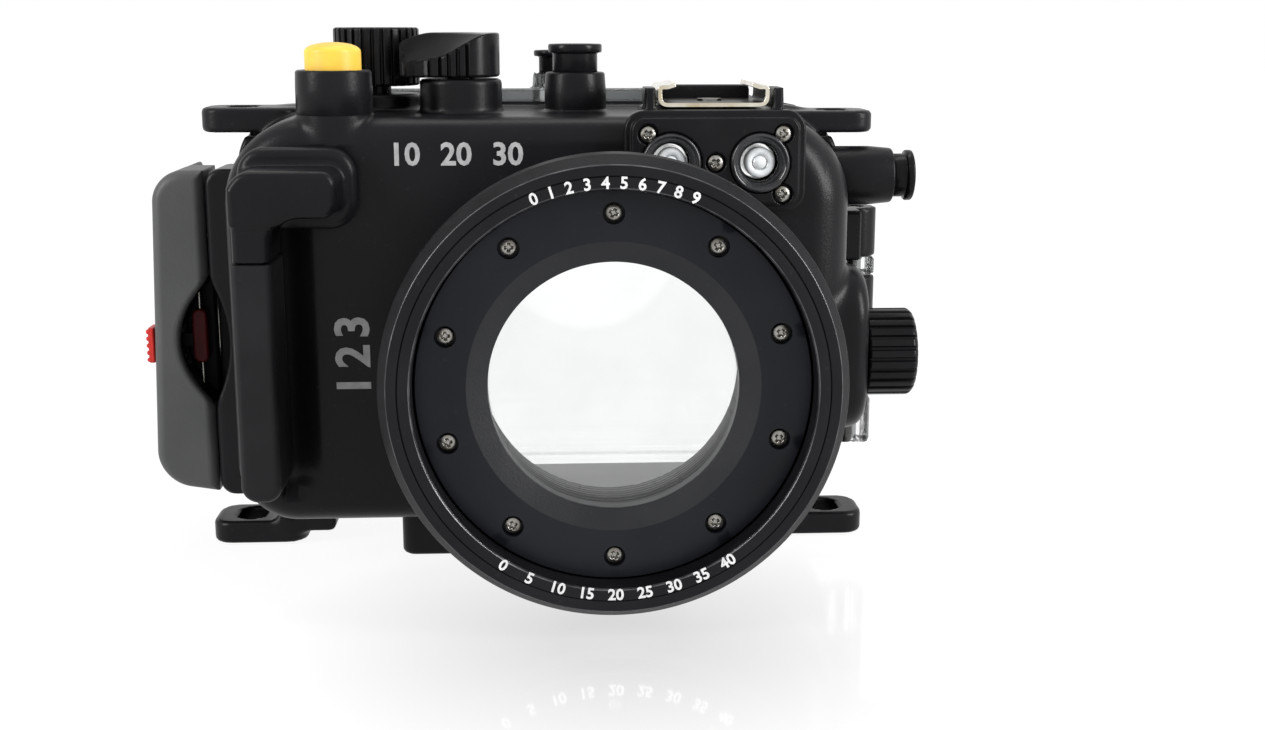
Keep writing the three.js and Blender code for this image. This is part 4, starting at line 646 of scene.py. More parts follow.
# Rims of the sprung buttons' bosses: outline outside, then the wide bore, then the narrow one
collars = {
    "shutterCollar": {"axis": "z", "centre": (-49, 40, 0), "root": 43.4, "top": 51.3, "radii": (6.9, 6.8),
                      "bore": 5.35, "floor": 46.8, "narrow": 4.1},
    "powerCollar": {"axis": "z", "centre": (-5.3, 52, 0), "root": 42.4, "top": 50.5, "radii": (5.8, 5.6),
                    "bore": 4.5, "floor": 47.0, "narrow": 3.8},
    "flashCollar": {"axis": "x", "centre": (0, 56, 30.4), "root": 44.6, "top": 56.3, "radii": (5.7, 5.3),
                    "bore": 4.5, "floor": 52.4, "narrow": 2.3},
}
for name, look in collars.items():
    foot, brim = look["radii"]
    root, top, bore, seat, narrow = named(look, "root top bore floor narrow")
    profile = [
        (foot, root), (foot, root + 0.6 * (top - root)), (brim, top - 0.45), (brim - 0.12, top - 0.15),
        (brim - 0.4, top), (bore + 0.12, top), (bore, top - 0.15), (bore, seat), (narrow, seat),
        (narrow, root),
    ]
    fit(turned(name, profile, look["axis"], look["centre"], closed=True), "housing", "blackShell")


ring = {
    "inner": 33.5, "face": 37.6, "outer": 39.1, "taperDepth": 2.4, "depth": 7.6,
    "grooveRadius": 35.7, "grooveWidth": 0.28, "grooveDepth": 0.35,
    "threadPitch": 0.75, "threadDepth": 0.35, "threadTurns": 5,
}


def ringProfile():
    inner, face, outer, taper, back = named(ring, "inner face outer taperDepth depth")
    sink, pitch = named(ring, "grooveDepth threadPitch")
    start, end = (ring["grooveRadius"] + side * ring["grooveWidth"] / 2 for side in (-1, 1))
    profile = [
        (inner, 0.3), (inner + 0.28, 0.02), (inner + 0.36, 0.0), (start, 0.0), (start + 0.03, sink),
        (end - 0.03, sink), (end, 0.0), (face - 0.16, 0.0), (face - 0.04, 0.05), (face, 0.16),
        (outer - 0.08, taper - 0.1), (outer, taper + 0.1), (outer, back - 0.3), (outer - 0.3, back),
        (inner, back),
    ]
    for turn in range(ring["threadTurns"]):
        along = 4.4 - turn * pitch
        profile += [(inner, along), (inner + ring["threadDepth"], along - pitch / 2)]
    return profile


portRing = turned("portRing", ringProfile(), "y", (0, 0, 0), sides=180, closed=True)
fit(portRing, "housing", "ringSatin", "port_ring")
# The band round the outside, then a painted highlight on the edges beside the thread and the face
paint(portRing, "ringBand", lambda x, y, z, normal: length(x, z) > 37.45 and y < 7.2)
paint(portRing, "paintedEdgeHighlight",
      lambda x, y, z, normal: y < 0.32 and (length(x, z) < 33.83 or 37.43 < length(x, z) < 37.7))

bezel = {
    "outer": 33.2, "window": 21.1, "chamferRadius": 24.6, "front": 4.5, "chamferBack": 5.9, "back": 8.6,
    "screwCircle": 29.3, "screws": 10, "sinkRadius": 1.85, "sinkDepth": 6.3, "holeRadius": 1.3,
}
screwPlaces = []
for i in range(bezel["screws"]):
    angle = 2 * math.pi * i / bezel["screws"]
    screwPlaces.append((bezel["screwCircle"] * math.sin(angle), bezel["screwCircle"] * math.cos(angle)))


# Drills round holes along y into a piece: (x, z, radius, from, to) of each
def drill(thing, holes, sides=40):
    points, faces = [], []
    for x, z, radius, start, end in holes:
        first = len(points)
        for along in (start, end):
            for i in range(sides):
                angle = 2 * math.pi * i / sides
                points.append((x + radius * math.cos(angle), along, z + radius * math.sin(angle)))
        low = list(range(first, first + sides))
        high = [i + sides for i in low]
        faces += [tuple(low), tuple(reversed(high))]
        faces += [(low[i], high[i], high[(i + 1) % sides], low[(i + 1) % sides]) for i in range(sides)]
    mesh = bpy.data.meshes.new("drill")
    mesh.from_pydata(toRow(points).tolist(), [], faces)
    bits = addObject("drill", mesh)
    work = thing.modifiers.new("holes", "BOOLEAN")
    work.object = bits
    work.solver = "EXACT"
    thing.modifiers.move(len(thing.modifiers) - 1, 0)
    graph = bpy.context.evaluated_depsgraph_get()
    done = bpy.data.meshes.new_from_object(thing.evaluated_get(graph))
    thing.modifiers.clear()
    done.name = thing.name
    thing.data = done
    bpy.data.objects.remove(bits)


def bezelProfile():
    outer, window, chamfer = named(bezel, "outer window chamferRadius")
    front, step, back = named(bezel, "front chamferBack back")
    return [
        (outer - 0.2, front), (outer, front + 0.25), (outer, back), (window, back), (window, step + 0.12),
        (window + 0.12, step - 0.06), (chamfer - 0.1, front + 0.05), (chamfer + 0.06, front),
    ]


bezelPiece = turned("portBezel", bezelProfile(), "y", (0, 0, 0), sides=180, closed=True)
drill(bezelPiece, [(x, z, bezel["sinkRadius"], 3, bezel["sinkDepth"]) for x, z in screwPlaces])
drill(bezelPiece, [(x, z, bezel["holeRadius"], 5, 10) for x, z in screwPlaces])
fit(bezelPiece, "housing", "bezelBlack", "port_bezel")
paint(bezelPiece, "chamferGrey", lambda x, y, z, normal: 21 < length(x, z) < 24.65 and y < 6.1)

screwLook = {"head": 1.5, "height": 1.15, "dome": 0.45, "slotHalf": 0.29, "slotReach": 1.0, "slotDepth": 0.8,
             "shank": 1.0, "length": 8.6, "cell": 0.11}


# A cross-recessed pan head on its shank, along y with its top at y = 0
def screwField(points):
    x, y, z = points.T
    reach = length(x, z)
    radius, height, dome, sink = named(screwLook, "head height dome slotDepth")
    crown = y + dome * (1 - (reach / radius) ** 2) - dome
    head = np.maximum(np.maximum(reach - radius, -crown), y - height)
    shank = pulled(reach - screwLook["shank"], y, 0.8, screwLook["length"], 0.2)
    depth = np.clip(y / sink, 0, 1)
    half = screwLook["slotHalf"] * (1.1 - 0.5 * depth)
    arm = screwLook["slotReach"] * (1.0 - 0.55 * depth)
    slots = [np.maximum(np.abs(a) - half, np.abs(b) - arm) for a, b in ((x, z), (z, x))]
    cross = grown(0.12, np.minimum(*slots), reach - 0.34)
    return carved(0.08, np.minimum(head, shank), np.maximum(cross, y - sink))


low, high = (-1.8, -0.4, -1.8), (1.8, 9.0, 1.8)
screwModel = sculpt("screwHead", screwField, low, high, screwLook["cell"], 0.35, True)
screwMesh = screwModel.data
bpy.data.objects.remove(screwModel)


def screwAt(name, x, y, z, turn, scale, *replaced):
    screw = addObject(name, screwMesh)
    screw.location = Vector(toRow((x, y, z)))
    screw.rotation_euler = (0, turn, 0)
    screw.scale = (scale, scale, scale)
    fit(screw, "housing", "steel", *replaced)


for i, (x, z) in enumerate(screwPlaces):
    screwAt(f"portScrew{i + 1}", x, 4.8, z, 0.4 + 1.7 * i, 0.92, f"port_screw_{i + 1}")
print("port done")


# A plain round profile, its end edges taken off
def rod(radius, low, high, edge):
    return [(0, low), (radius - edge, low), (radius, low + edge), (radius, high - edge),
            (radius - edge, high), (0, high)]


glass = {"radius": 26.0, "low": 8.9, "high": 12.9, "edge": 0.4}
fit(turned("portGlass", rod(**glass), "y", (0, 0, 0), 128), "housing", "windowGlass", "port_glass")


grip = {
    "left": -65.5, "barRight": -58.3, "front": 20.0, "back": 33.7,
    "plate": (-65.5, -44.5, 23.6, 38.2, 5.0), "plateFront": 30.1, "plateEdge": 1.7,
    "arm": (-65.5, -46.9, 26.7, 34.9), "armCorners": (2.6, 4.4), "armFillet": 5.6, "armEdge": 1.3,
    "stepHeight": 25.3, "stepDepth": 0.4, "cut": 19.1,
    "sleeve": (-23.8, 18.8), "sleeveCorner": 3.0, "sleeveEdge": 1.3, "cell": 0.34,
}


def gripField(points):
    x, y, z = spots = points.T
    left, right, front, back, step = named(grip, "left barRight front back stepDepth")
    plate = form(spots, "xz", grip["plate"], grip["plateFront"], back, grip["plateEdge"])
    low, high = grip["armCorners"]
    upper = np.maximum(rect(x, z, *grip["arm"], low), rect(x, z, grip["arm"][0], 0, 0, grip["arm"][3], high))
    bar = rect(x, z, left, right, 10, 28.4, 0.3)
    outline = np.maximum(grown(grip["armFillet"], upper, bar), left - x)
    below = 1 / (1 + np.exp(np.clip((z - grip["stepHeight"]) * 7, -40, 40)))
    arm = pulled(outline + below * step, y - below * step, front, 33.5, grip["armEdge"])
    arm = np.maximum(arm, grip["cut"] - z)
    core = form(spots, "xz", (-63.6, -60.2, -21.9, 20.5, 0.6), 21.9, 31.8, 0.5)
    return np.minimum(np.maximum(grown(1.2, plate, arm), left - x), core)


def sleeveField(points):
    low, high = grip["sleeve"]
    outline = (grip["left"], grip["barRight"], low, high + 8, grip["sleeveCorner"])
    body = form(points.T, "xz", outline, grip["front"], grip["back"], grip["sleeveEdge"])
    hollow = form(points.T, "xz", (-63.9, -59.9, -22.3, 22, 0.6), 21.6, 32.1, 0.5)
    return carved(0.2, np.maximum(body, points.T[2] - high), hollow)


gripPiece = sculpt("gripArm", gripField, (-66.5, 18.5, -24.5), (-43, 35, 39), grip["cell"], 0.5)
fit(gripPiece, "housing", "blackShell", "front_grip")
sleevePiece = sculpt("gripSleeve", sleeveField, (-66.5, 18.5, -26), (-55, 35, 21), grip["cell"], 0.5)
fit(sleevePiece, "housing", "rubber", "grip_sleeve")


fibre = {
    "outline": (3.0, 35.6, 26.3, 44.4, 3.6), "front": 30.3, "step": 31.35, "back": 33.7, "border": 1.25,
    "neck": 31.3, "sockets": (11.35, 27.25), "height": 35.1,
    "socketRadius": 5.3, "socketBore": 3.4, "lip": 29.7, "lensRadius": 2.9, "lensFront": 31.2,
    "screws": ((7.2, 40.2), (31.4, 40.2), (19.3, 35.1), (31.4, 29.5)), "sink": 1.8, "sinkDepth": 31.9,
    "cell": 0.27,
}


def fibreField(points):
    x, y, z = points.T
    outline = np.maximum(rect(x, z, *fibre["outline"]), fibre["neck"] - length(x, z))
    base = pulled(outline, y, fibre["step"], fibre["back"], 0.5)
    raised = pulled(outline + fibre["border"], y, fibre["front"], fibre["back"], 0.45)
    plate = grown(0.35, base, raised)
    for socket in fibre["sockets"]:
        plate = carved(0.3, plate, disc(x, z, (socket, fibre["height"]), fibre["socketRadius"] + 0.12))
    for place in fibre["screws"]:
        plate = carved(0.2, plate, form(points.T, "xz", (*place, fibre["sink"]), 20, fibre["sinkDepth"]))
        plate = carved(0.2, plate, disc(x, z, place, 1.2))
    return plate


def funnelProfile():
    rim, lip, bore, back = named(fibre, "socketRadius lip socketBore back")
    return [
        (rim, lip + 0.35), (rim - 0.3, lip), (rim - 0.62, lip), (rim - 0.95, lip + 0.5), (3.95, lip + 1.1),
        (3.75, lip + 1.25), (3.6, lip + 1.9), (bore, lip + 2.0), (bore, back), (rim, back),
    ]


def fibreLensProfile():
    radius, front = named(fibre, "lensRadius lensFront")
    return [
        (0, front - 0.2), (1.15, front - 0.2), (1.25, front + 0.3), (1.4, front + 0.3), (1.5, front - 0.2),
        (2.2, front - 0.1), (radius - 0.3, front), (radius - 0.15, front + 0.3), (radius - 0.15, 39.0),
        (0, 39.0),
    ]


plate = sculpt("fibrePlate", fibreField, (1.8, 29.2, 25), (36.8, 35, 45.6), fibre["cell"], 0.45)
fit(plate, "housing", "blackControls", "fibre_plate")
for side, x in zip(("left", "right"), fibre["sockets"]):
    centre = (x, 0, fibre["height"])
    socket = turned(f"fibreSocket.{side}", funnelProfile(), "y", centre, 72, closed=True)
    fit(socket, "housing", "socketGloss", f"fibre_socket_{side}")
    lens = turned(f"fibreLens.{side}", fibreLensProfile(), "y", centre, 72)
    fit(lens, "housing", "lensWhite", f"fibre_lens_{side}")
for i, (x, z) in enumerate(fibre["screws"]):
    screwAt(f"fibreScrew{i + 1}", x, 30.4, z, 0.9 + 2.3 * i, 0.95, f"fibre_screw_{i + 1}")
print("fibre plate done")


shoe = {
    "middle": 19.3, "half": 10.1, "floor": 44.7, "height": 4.4, "sheet": 0.8, "bend": 1.5,
    "lipGap": 6.9, "front": 35.0, "back": 53.0, "flare": 0.45,
}


# The channel's middle line, thickened to a closed outline
def shoeOutline():
    sheet, gap, flare = named(shoe, "sheet lipGap flare")
    half = shoe["half"] - sheet / 2
    low = shoe["floor"] + sheet / 2
    high = shoe["floor"] + shoe["height"] - sheet / 2 - flare
    points = softened([
        (-gap, high + flare), (-gap - 1.4, high), (-half, high), (-half, low), (half, low), (half, high),
        (gap + 1.4, high), (gap, high + flare),
    ], shoe["bend"])
    left, right = [], []
    for i, point in enumerate(points):
        along = (points[min(i + 1, len(points) - 1)] - points[max(i - 1, 0)]).normalized()
        across = Vector((-along.y, along.x)) * sheet / 2
        left.append(point + across)
        right.append(point - across)
    return [(p.x + shoe["middle"], p.y) for p in left + right[::-1]]


shoePiece = pulledPiece("coldShoe", shoeOutline(), shoe["front"], shoe["back"], 0.14)
fit(shoePiece, "housing", "chrome", "cold_shoe")
# Painted reflection: the inside of the channel is coloured dark, as the dark wall behind it would look
# mirrored there
paint(shoePiece, "shoePaintedReflection",
      lambda x, y, z, normal: abs(x - shoe["middle"]) < 9.5 and 44.9 < z < 48.6 and y > shoe["front"] + 0.3)


# How far a ribbed round outline lies outside its grooves' rim
def ribbed(u, v, radius, ribs, depth):
    wave = np.cos(np.arctan2(v, u) * ribs)
    groove = np.clip((wave - 0.05) / 0.75, 0, 1)
    groove = groove * groove * (3 - 2 * groove)
    return (length(u, v) - radius + depth * groove) * 0.8


modeLook = {"centre": (-43.2, 60.0), "radius": 8.1, "base": 47.8, "top": 58.7, "ribs": 28, "ribDepth": 0.62,
            "shaft": 2.6, "shaftFoot": 35.9, "cell": 0.2}


def modeField(points):
    x, y, z = points.T
    u, v = x - modeLook["centre"][0], y - modeLook["centre"][1]
    base, top, shaft, foot = named(modeLook, "base top shaft shaftFoot")
    knob = pulled(ribbed(u, v, *named(modeLook, "radius ribs ribDepth")), z, base, top, 0.5)
    knob = carved(0.4, knob, pulled(length(u, v) - 6.4, z, top - 0.35, 70))
    mark = pulled(rect(u, v, -0.35, 0.35, -7.2, -3.6, 0.3), z, top - 0.7, 70)
    return carved(0.15, np.minimum(knob, pulled(length(u, v) - shaft, z, foot, 48)), mark)


modePiece = sculpt("modeKnob", modeField, (-52, 51, 35.4), (-34.5, 69, 59.4), modeLook["cell"], 0.35)
fit(modePiece, "mode", "blackControls", "mode_knob")

zoomLook = {
    "centre": (-26.7, 50.0), "radius": 7.3, "base": 49.7, "top": 57.9, "lobeReach": 7.85, "lobeRadius": 3.65,
    "turn": 20.0, "dishDepth": 5.0, "droop": 2.2, "dishFrom": -6.5, "dishLength": 13.6,
    "flutes": 26, "fluteDepth": 0.75, "fluteMiddle": 188.0, "fluteHalf": 79.0,
    "shaft": 2.5, "shaftFoot": 36.0, "cell": 0.2,
}


def zoomField(points):
    x, y, z = points.T
    p, q = x - zoomLook["centre"][0], y - zoomLook["centre"][1]
    turn = math.radians(zoomLook["turn"])
    u = p * math.cos(turn) + q * math.sin(turn)
    v = -p * math.sin(turn) + q * math.cos(turn)
    radius, lobeReach, lobeRadius = named(zoomLook, "radius lobeReach lobeRadius")
    around = np.degrees(np.arctan2(v, u)) % 360
    fluted = np.clip((zoomLook["fluteHalf"] - np.abs(around - zoomLook["fluteMiddle"])) / 6, 0, 1)
    wave = np.clip(np.cos(np.radians(around) * zoomLook["flutes"]) / 0.7, 0, 1) * fluted
    share = np.clip(-u / lobeReach, 0, 1)
    lobe = length(u + lobeReach * share, v) - (radius + (lobeRadius - radius) * share)
    outline = np.minimum(length(u, v) - radius, lobe) + wave * zoomLook["fluteDepth"]
    top = zoomLook["top"] - zoomLook["droop"] * np.clip((-p - 5) / 6.5, 0, 1) ** 2
    knob = pulled(outline * 0.85, z, zoomLook["base"], top, 0.55)
    share = np.clip((p - zoomLook["dishFrom"]) / zoomLook["dishLength"], 0, 1)
    depth = zoomLook["dishDepth"] * 0.5 * (1 + np.cos(math.pi * share))       # deepest at the lobe
    rim = np.interp(p, (-11, -7.4, -3.5, 0), (-2.9, 0.5, 4.2, 6.4))           # where the back rim stands
    dish = top - depth * (1 - np.clip((q + 7) / (rim + 7), 0, 1) ** 1.7)
    knob = carved(0.35, knob, (dish - z) * 0.7)
    return np.minimum(knob, pulled(length(u, v) - zoomLook["shaft"], z, zoomLook["shaftFoot"], 50.5))


zoomPiece = sculpt("zoomKnob", zoomField, (-40, 40.5, 35.4), (-18.5, 59.5, 58.6), zoomLook["cell"], 0.35)
fit(zoomPiece, "zoom", "blackControls", "zoom_knob")
# Painted shade on the dished top
paint(zoomPiece, "paintedRecessShade", lambda x, y, z, normal: 51.5 < z < 57.5 and normal.z > 0.22)

ringKnobLook = {"centre": (46.0, -2.7), "radius": 8.4, "from": 49.7, "to": 59.1, "ribs": 24, "ribDepth": 0.7,
                "shaft": 3.0, "shaftFoot": 35.3, "cell": 0.2}


def ringKnobField(points):
    x, y, z = points.T
    u, v = y - ringKnobLook["centre"][0], z - ringKnobLook["centre"][1]
    radius, start, end = named(ringKnobLook, "radius from to")
    knob = pulled(ribbed(u, v, radius, *named(ringKnobLook, "ribs ribDepth")), x, start, end, 0.5)
    cone = (length(u, v) + (x - end) - (radius - 0.8)) * 0.707
    knob = carved(0.3, knob, -cone)
    knob = carved(0.3, knob, pulled(length(u, v) - 5.8, x, end - 0.3, 70))
    return np.minimum(knob, pulled(length(u, v) - ringKnobLook["shaft"], x, ringKnobLook["shaftFoot"], 53.5))


low, high = (34.8, 36.8, -11.9), (61.0, 55.2, 6.5)
knobPiece = sculpt("ringKnob", ringKnobField, low, high, ringKnobLook["cell"], 0.35)
fit(knobPiece, "lens_ring", "blackControls", "ring_knob")
print("knobs done")


shutterLook = {"centre": (-49.0, 40.0, 0.0), "radius": 5.05, "base": 49.7, "top": 56.2, "stem": 2.0,
               "foot": 38.5}


# A round cap, domed on top, on its stem
def shutterProfile():
    radius, base, top, stem, foot = named(shutterLook, "radius base top stem foot")
    return [
        (0, foot), (stem - 0.2, foot), (stem, foot + 0.2), (stem, base), (radius - 0.25, base),
        (radius, base + 0.25), (radius, top - 1.75), (4.98, top - 1.4), (4.72, top - 1.05),
        (4.25, top - 0.72), (3.5, top - 0.42), (2.5, top - 0.2), (1.25, top - 0.05), (0, top),
    ]


shutterPiece = turned("shutterButton", shutterProfile(), "z", shutterLook["centre"])
fit(shutterPiece, "shutter", "yellowCap", "shutter_button")


springLook = {"wire": 0.4, "curls": 5, "steps": 40, "sides": 8, "travel": 2.5}


# A button's spring as one wire between the ends of its CAD node
def spring(button):
    node = f"{button}_spring"
    low, high = ((np.array(corner) - np.array(lensPoint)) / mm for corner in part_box(node))
    wire, curls = springLook["wire"], springLook["curls"]
    centre, reach = (low + high) / 2, (high[0] - low[0]) / 2 - wire
    points, faces = [], []
    steps, sides = curls * springLook["steps"], springLook["sides"]
    for i in range(steps + 1):
        turn = i / springLook["steps"]
        height = low[2] + wire + (high[2] - low[2] - 2 * wire) * min(max((turn - 0.5) / (curls - 1), 0), 1)
        out = Vector((math.cos(turn * math.tau), math.sin(turn * math.tau), 0))
        for j in range(sides):
            angle = math.tau * j / sides
            points.append(Vector((centre[0], centre[1], height + wire * math.sin(angle)))
                          + out * (reach + wire * math.cos(angle)))
        if i:
            near, far = (i - 1) * sides, i * sides
            for j, k in zip(range(sides), (*range(1, sides), 0)):
                faces.append((near + j, near + k, far + k, far + j))
    faces += [tuple(reversed(range(sides))), tuple(range(steps * sides, (steps + 1) * sides))]
    piece = fit(finishMesh(f"{button}Spring", points, faces), "housing", "wireSteel", node)
    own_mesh(piece)


spring("shutter")


# A spool-shaped push button on its stem
def spool(look):
    radius, waist, top, stem, waistFoot, foot = named(look, "radius waist top stem waistFoot foot")
    under = top - look["flange"]
    return [
        (0, foot), (stem - 0.2, foot), (stem, foot + 0.2), (stem, waistFoot), (waist, waistFoot),
        (waist, under - 0.25), (waist + 0.25, under), (radius - 0.2, under), (radius, under + 0.2),
        (radius, top - 0.3), (radius - 0.1, top - 0.1), (radius - 0.3, top), (radius - 1.0, top),
        (radius - 1.25, top - 0.2), (0, top - 0.35),
    ]


buttons = {
    "power": {"axis": "z", "centre": (-5.3, 52.0, 0.0), "radius": 5.05, "top": 55.7, "flange": 1.6,
              "waist": 4.2, "waistFoot": 49.9, "stem": 2.0, "foot": 32.6},
    "playback": {"axis": "z", "centre": (-9.3, 72.8, 0.0), "radius": 3.9, "top": 54.2, "flange": 1.2,
                 "waist": 2.9, "waistFoot": 49.2, "stem": 1.3, "foot": 35.4},
    "flash": {"axis": "x", "centre": (0.0, 56.0, 30.4), "radius": 4.9, "top": 60.3, "flange": 1.4,
              "waist": 4.2, "waistFoot": 55.7, "stem": 2.0, "foot": 32.7},
}
for name, look in buttons.items():
    button = turned(f"{name}Button", spool(look), look["axis"], look["centre"])
    fit(button, name, "blackControls", f"{name}_button")
    if name == "power":                                  # the other two have no spring of their own
        spring(name)
rearLook = {"x": -50.0, "heights": (24.0, 10.0, -4.0, -18.0), "radius": 4.4, "inner": 89.9, "outer": 93.1,
            "stem": 1.6, "foot": 82.0}


def rearProfile():
    radius, inner, outer, stem, foot = named(rearLook, "radius inner outer stem foot")
    return [
        (0, foot), (stem, foot), (stem, inner), (radius - 0.2, inner), (radius, inner + 0.2),
        (radius, outer - 0.6), (radius - 0.2, outer - 0.2), (radius - 0.6, outer), (2.6, outer),
        (1.8, outer - 0.25), (0, outer - 0.35),
    ]


for i, z in enumerate(rearLook["heights"]):
    button = turned(f"rearButton{i + 1}", rearProfile(), "y", (rearLook["x"], 0, z), 64)
    fit(button, f"rear_{i + 1}", "blackControls", f"rear_button_{i + 1}")
print("buttons done")


lever = {
    "outer": -87.25, "lean": 0.038, "inner": -76.5, "bottom": -31.6, "top": 32.0, "front": 54.0, "back": 85.0,
    "corner": 6.0, "lowCorner": 6.5, "fall": 0.16, "edge": 2.0, "skin": -82.4, "seam": 68.0,
    "pin": (-77.0, 80.0), "knuckle": 4.5, "knuckleHalf": 16.0,
    "notchMiddle": -1.2, "notchHalf": 12.4, "notchReach": 6.0, "notchBack": 61.5, "cell": 0.42,
}


def leverField(points):
    x, y, z = spots = points.T
    inner, middle, half = named(lever, "inner notchMiddle notchHalf")
    corner = np.where(z > 0, lever["corner"], lever["lowCorner"])
    outer = lever["outer"] + lever["lean"] * (np.clip(z, -30, 30) - 5)
    sloping = np.where(z < 0, z - lever["fall"] * np.clip(inner - x, 0, 12), z)
    outline = rect(x, sloping, outer, inner + 10, lever["bottom"], lever["top"], corner)
    body = pulled(np.maximum(outline, x - inner), y, lever["front"], lever["back"], lever["edge"])
    body = carved(0.8, body, np.maximum(lever["skin"] - x, lever["seam"] - y))
    px, py = lever["pin"]
    neck = (lever["skin"] - 1, px, py - 4.5, py + 3.5, 0.4)
    barrel = (px, py, lever["knuckle"])
    heights = [(-lever["knuckleHalf"], lever["knuckleHalf"])]
    body = knuckled(body, spots, 0.8, ((barrel, 0.4), (neck, 0.4)), heights)
    share = np.clip((z - middle) / half, -1, 1)
    reach = inner - lever["notchReach"] * (1 - share ** 2)
    notch = np.maximum((reach - x) * 0.75, y - lever["notchBack"])
    body = carved(1.1, body, np.maximum(notch, np.abs(z - middle) - half))
    pocket = form(spots, "xz", (-80.7, -70, -4.3, 4.3, 0.2), 62.9, 67)
    stemSlot = form(spots, "yz", (57.2, 60.8, -6.2, 1.6, 0.3), -92, -70)
    return carved(0.2, body, pocket, stemSlot, form(spots, "xy", (px, py, 1.8), -36, 33))


leverPiece = sculpt("latchLever", leverField, (-90.5, 52.5, -37), (-71.5, 87, 34), lever["cell"], 0.5)
fit(leverPiece, "latch", "greyLatch", "latch_lever")
# Painted shade on the walls of the finger notch
paint(leverPiece, "paintedRecessShade", lambda x, y, z, normal: -83 < x < -76.3 and abs(z + 1.2) < 12.6
      and 55.6 < y < 63 and (normal.x > 0.3 or normal.y < -0.6))

slide = {"tab": (56.5, 61.5, -5.8, 1.2), "tabOuter": -89.5, "tabInner": -87.9, "ridges": 5, "cell": 0.17}


def slideField(points):
    x, y, z = spots = points.T
    outer = slide["tabOuter"]
    ridges = 0.45 * np.clip(0.5 + 0.9 * np.cos((z + 5.8) / 7.0 * slide["ridges"] * 2 * math.pi), 0, 1)
    tab = form(spots, "yz", (*slide["tab"], 0.7), outer, slide["tabInner"], 0.4)
    tab = np.maximum(tab, (outer + ridges - x) * 0.7)
    stem = form(spots, "yz", (59.2, 60.5, -3.2, -0.2, 0.3), -88.2, -79.5)
    catch = form(spots, "xz", (-80.8, -77.9, -6.1, 4.6, 1.3), 58.2, 60.8, 0.5)
    catch = np.maximum(catch, 0.5 - length(x + 79.35, y - 59.5))             # the guide pin's bore
    return np.minimum(np.minimum(tab, stem), catch)


slidePiece = sculpt("safetySlide", slideField, (-90, 56, -6.7), (-77.3, 62, 5.3), slide["cell"], 0.4)
fit(slidePiece, "safety", "redLock", "safety_slide")
# Painted shade: the catch inside the notch in a darker red, then the stem in its slot in near black
paint(slidePiece, "redPaintedShade", lambda x, y, z, normal: x > -81)
paint(slidePiece, "paintedRecessShade", lambda x, y, z, normal: -87.8 < x <= -80.9 and y > 59)

guidePin = {"radius": 0.36, "low": -10.9, "high": 8.5, "edge": 0.08}         # the red catch slides on it
fit(turned("guidePin", rod(**guidePin), "z", (-79.35, 59.5, 0.0), 24), "latch", "steel")


door = {
    "rim": (-71.0, 47.0, -37.0, 46.7), "rimCorners": (12.0, 25.0), "front": 68.3, "rimBack": 73.0,
    "dish": (-68.0, 44.0, -33.0, 42.7, 9.0), "back": 87.0, "edge": 4.0,
    "hollow": (-65.0, 41.0, -30.0, 39.7, 6.0), "floor": 84.0, "cell": 0.9,
}
# Each side's knuckles: barrel and web with their rounding, then the pairs of heights
doorKnuckles = (
    ((((52, 70.3, 4.5), 0.4), ((44, 52, 68.6, 73, 0.4), 0.3)), ((8.9, 12.5), (-26.7, -17))),
    ((((-77, 80, 4.5), 0.4), ((-77, -66, 75.5, 83.5, 0.4), 0.3)), ((16.3, 22), (-22, -16.3))),
)
doorBores = [
    ("xy", (-9.3, 72.8, 1.6), 37, 51), ("xy", (-9.3, 72.8, 3.2), 46.3, 51), ("xy", (52, 70.3, 1.8), -28, 24),
    ("xy", (-77, 80, 1.8), -36, 33),
]
for z in rearLook["heights"]:
    doorBores += [("xz", (-50, z, 1.9), 82, 88), ("xz", (-50, z, 4.9), 87.1, 92)]


def doorField(points):
    x, y, z = spots = points.T
    low, high = door["rimCorners"]
    corner = np.where(z > 5, high, low)
    rim = form(spots, "xz", (*door["rim"], corner), door["front"], door["rimBack"], 0.7)
    dish = form(spots, "xz", door["dish"], 60, door["back"], door["edge"])
    body = grown(1.5, rim, np.maximum(dish, door["front"] + 0.2 - y))
    for shapes, heights in doorKnuckles:
        body = knuckled(body, spots, 0.6, shapes, heights)
    for height in rearLook["heights"]:
        body = grown(1.2, body, form(spots, "xz", (-50, height, 5.5), 84, 90.5, 0.5))
    body = grown(0.8, body, form(spots, "xy", (-9.3, 72.8, 4.2), 40, 49.8, 0.4))
    body = carved(0.8, body, form(spots, "xz", door["hollow"], 50, door["floor"], 1.5))
    groove = np.abs(rect(x, z, -68.8, 44.8, -33.8, 43.3, 9.8)) - 1.2
    return bored(np.maximum(body, -np.maximum(groove, y - 69.8)), spots, doorBores)


doorPiece = sculpt("backDoor", doorField, (-83, 67.5, -39), (58, 92, 51), door["cell"], 1.0)
fit(doorPiece, "door", "clearPlastic", "back_door")
paint(doorPiece, "smokyRim", lambda x, y, z, normal: y < 73.3 and not (-67 < x < 43 and -32 < z < 41))
print("latch and door done")


insert = {"outer": 5.0, "thread": 3.175, "low": -42.4, "high": -35.0, "pitch": 1.27}


def insertProfile():
    outer, thread, low, high, pitch = named(insert, "outer thread low high pitch")
    profile = [(outer - 0.25, low), (outer, low + 0.25), (outer, high), (thread + 0.3, high)]
    for turn in range(5):
        along = high - 0.4 - turn * pitch
        profile += [(thread, along), (thread + 0.45, along - pitch / 2)]
    return profile + [(thread, low + 0.9), (thread + 0.7, low)]


insertPiece = turned("tripodInsert", insertProfile(), "z", (-12, 57, 0), 72, closed=True)
fit(insertPiece, "housing", "brass", "tripod_insert")


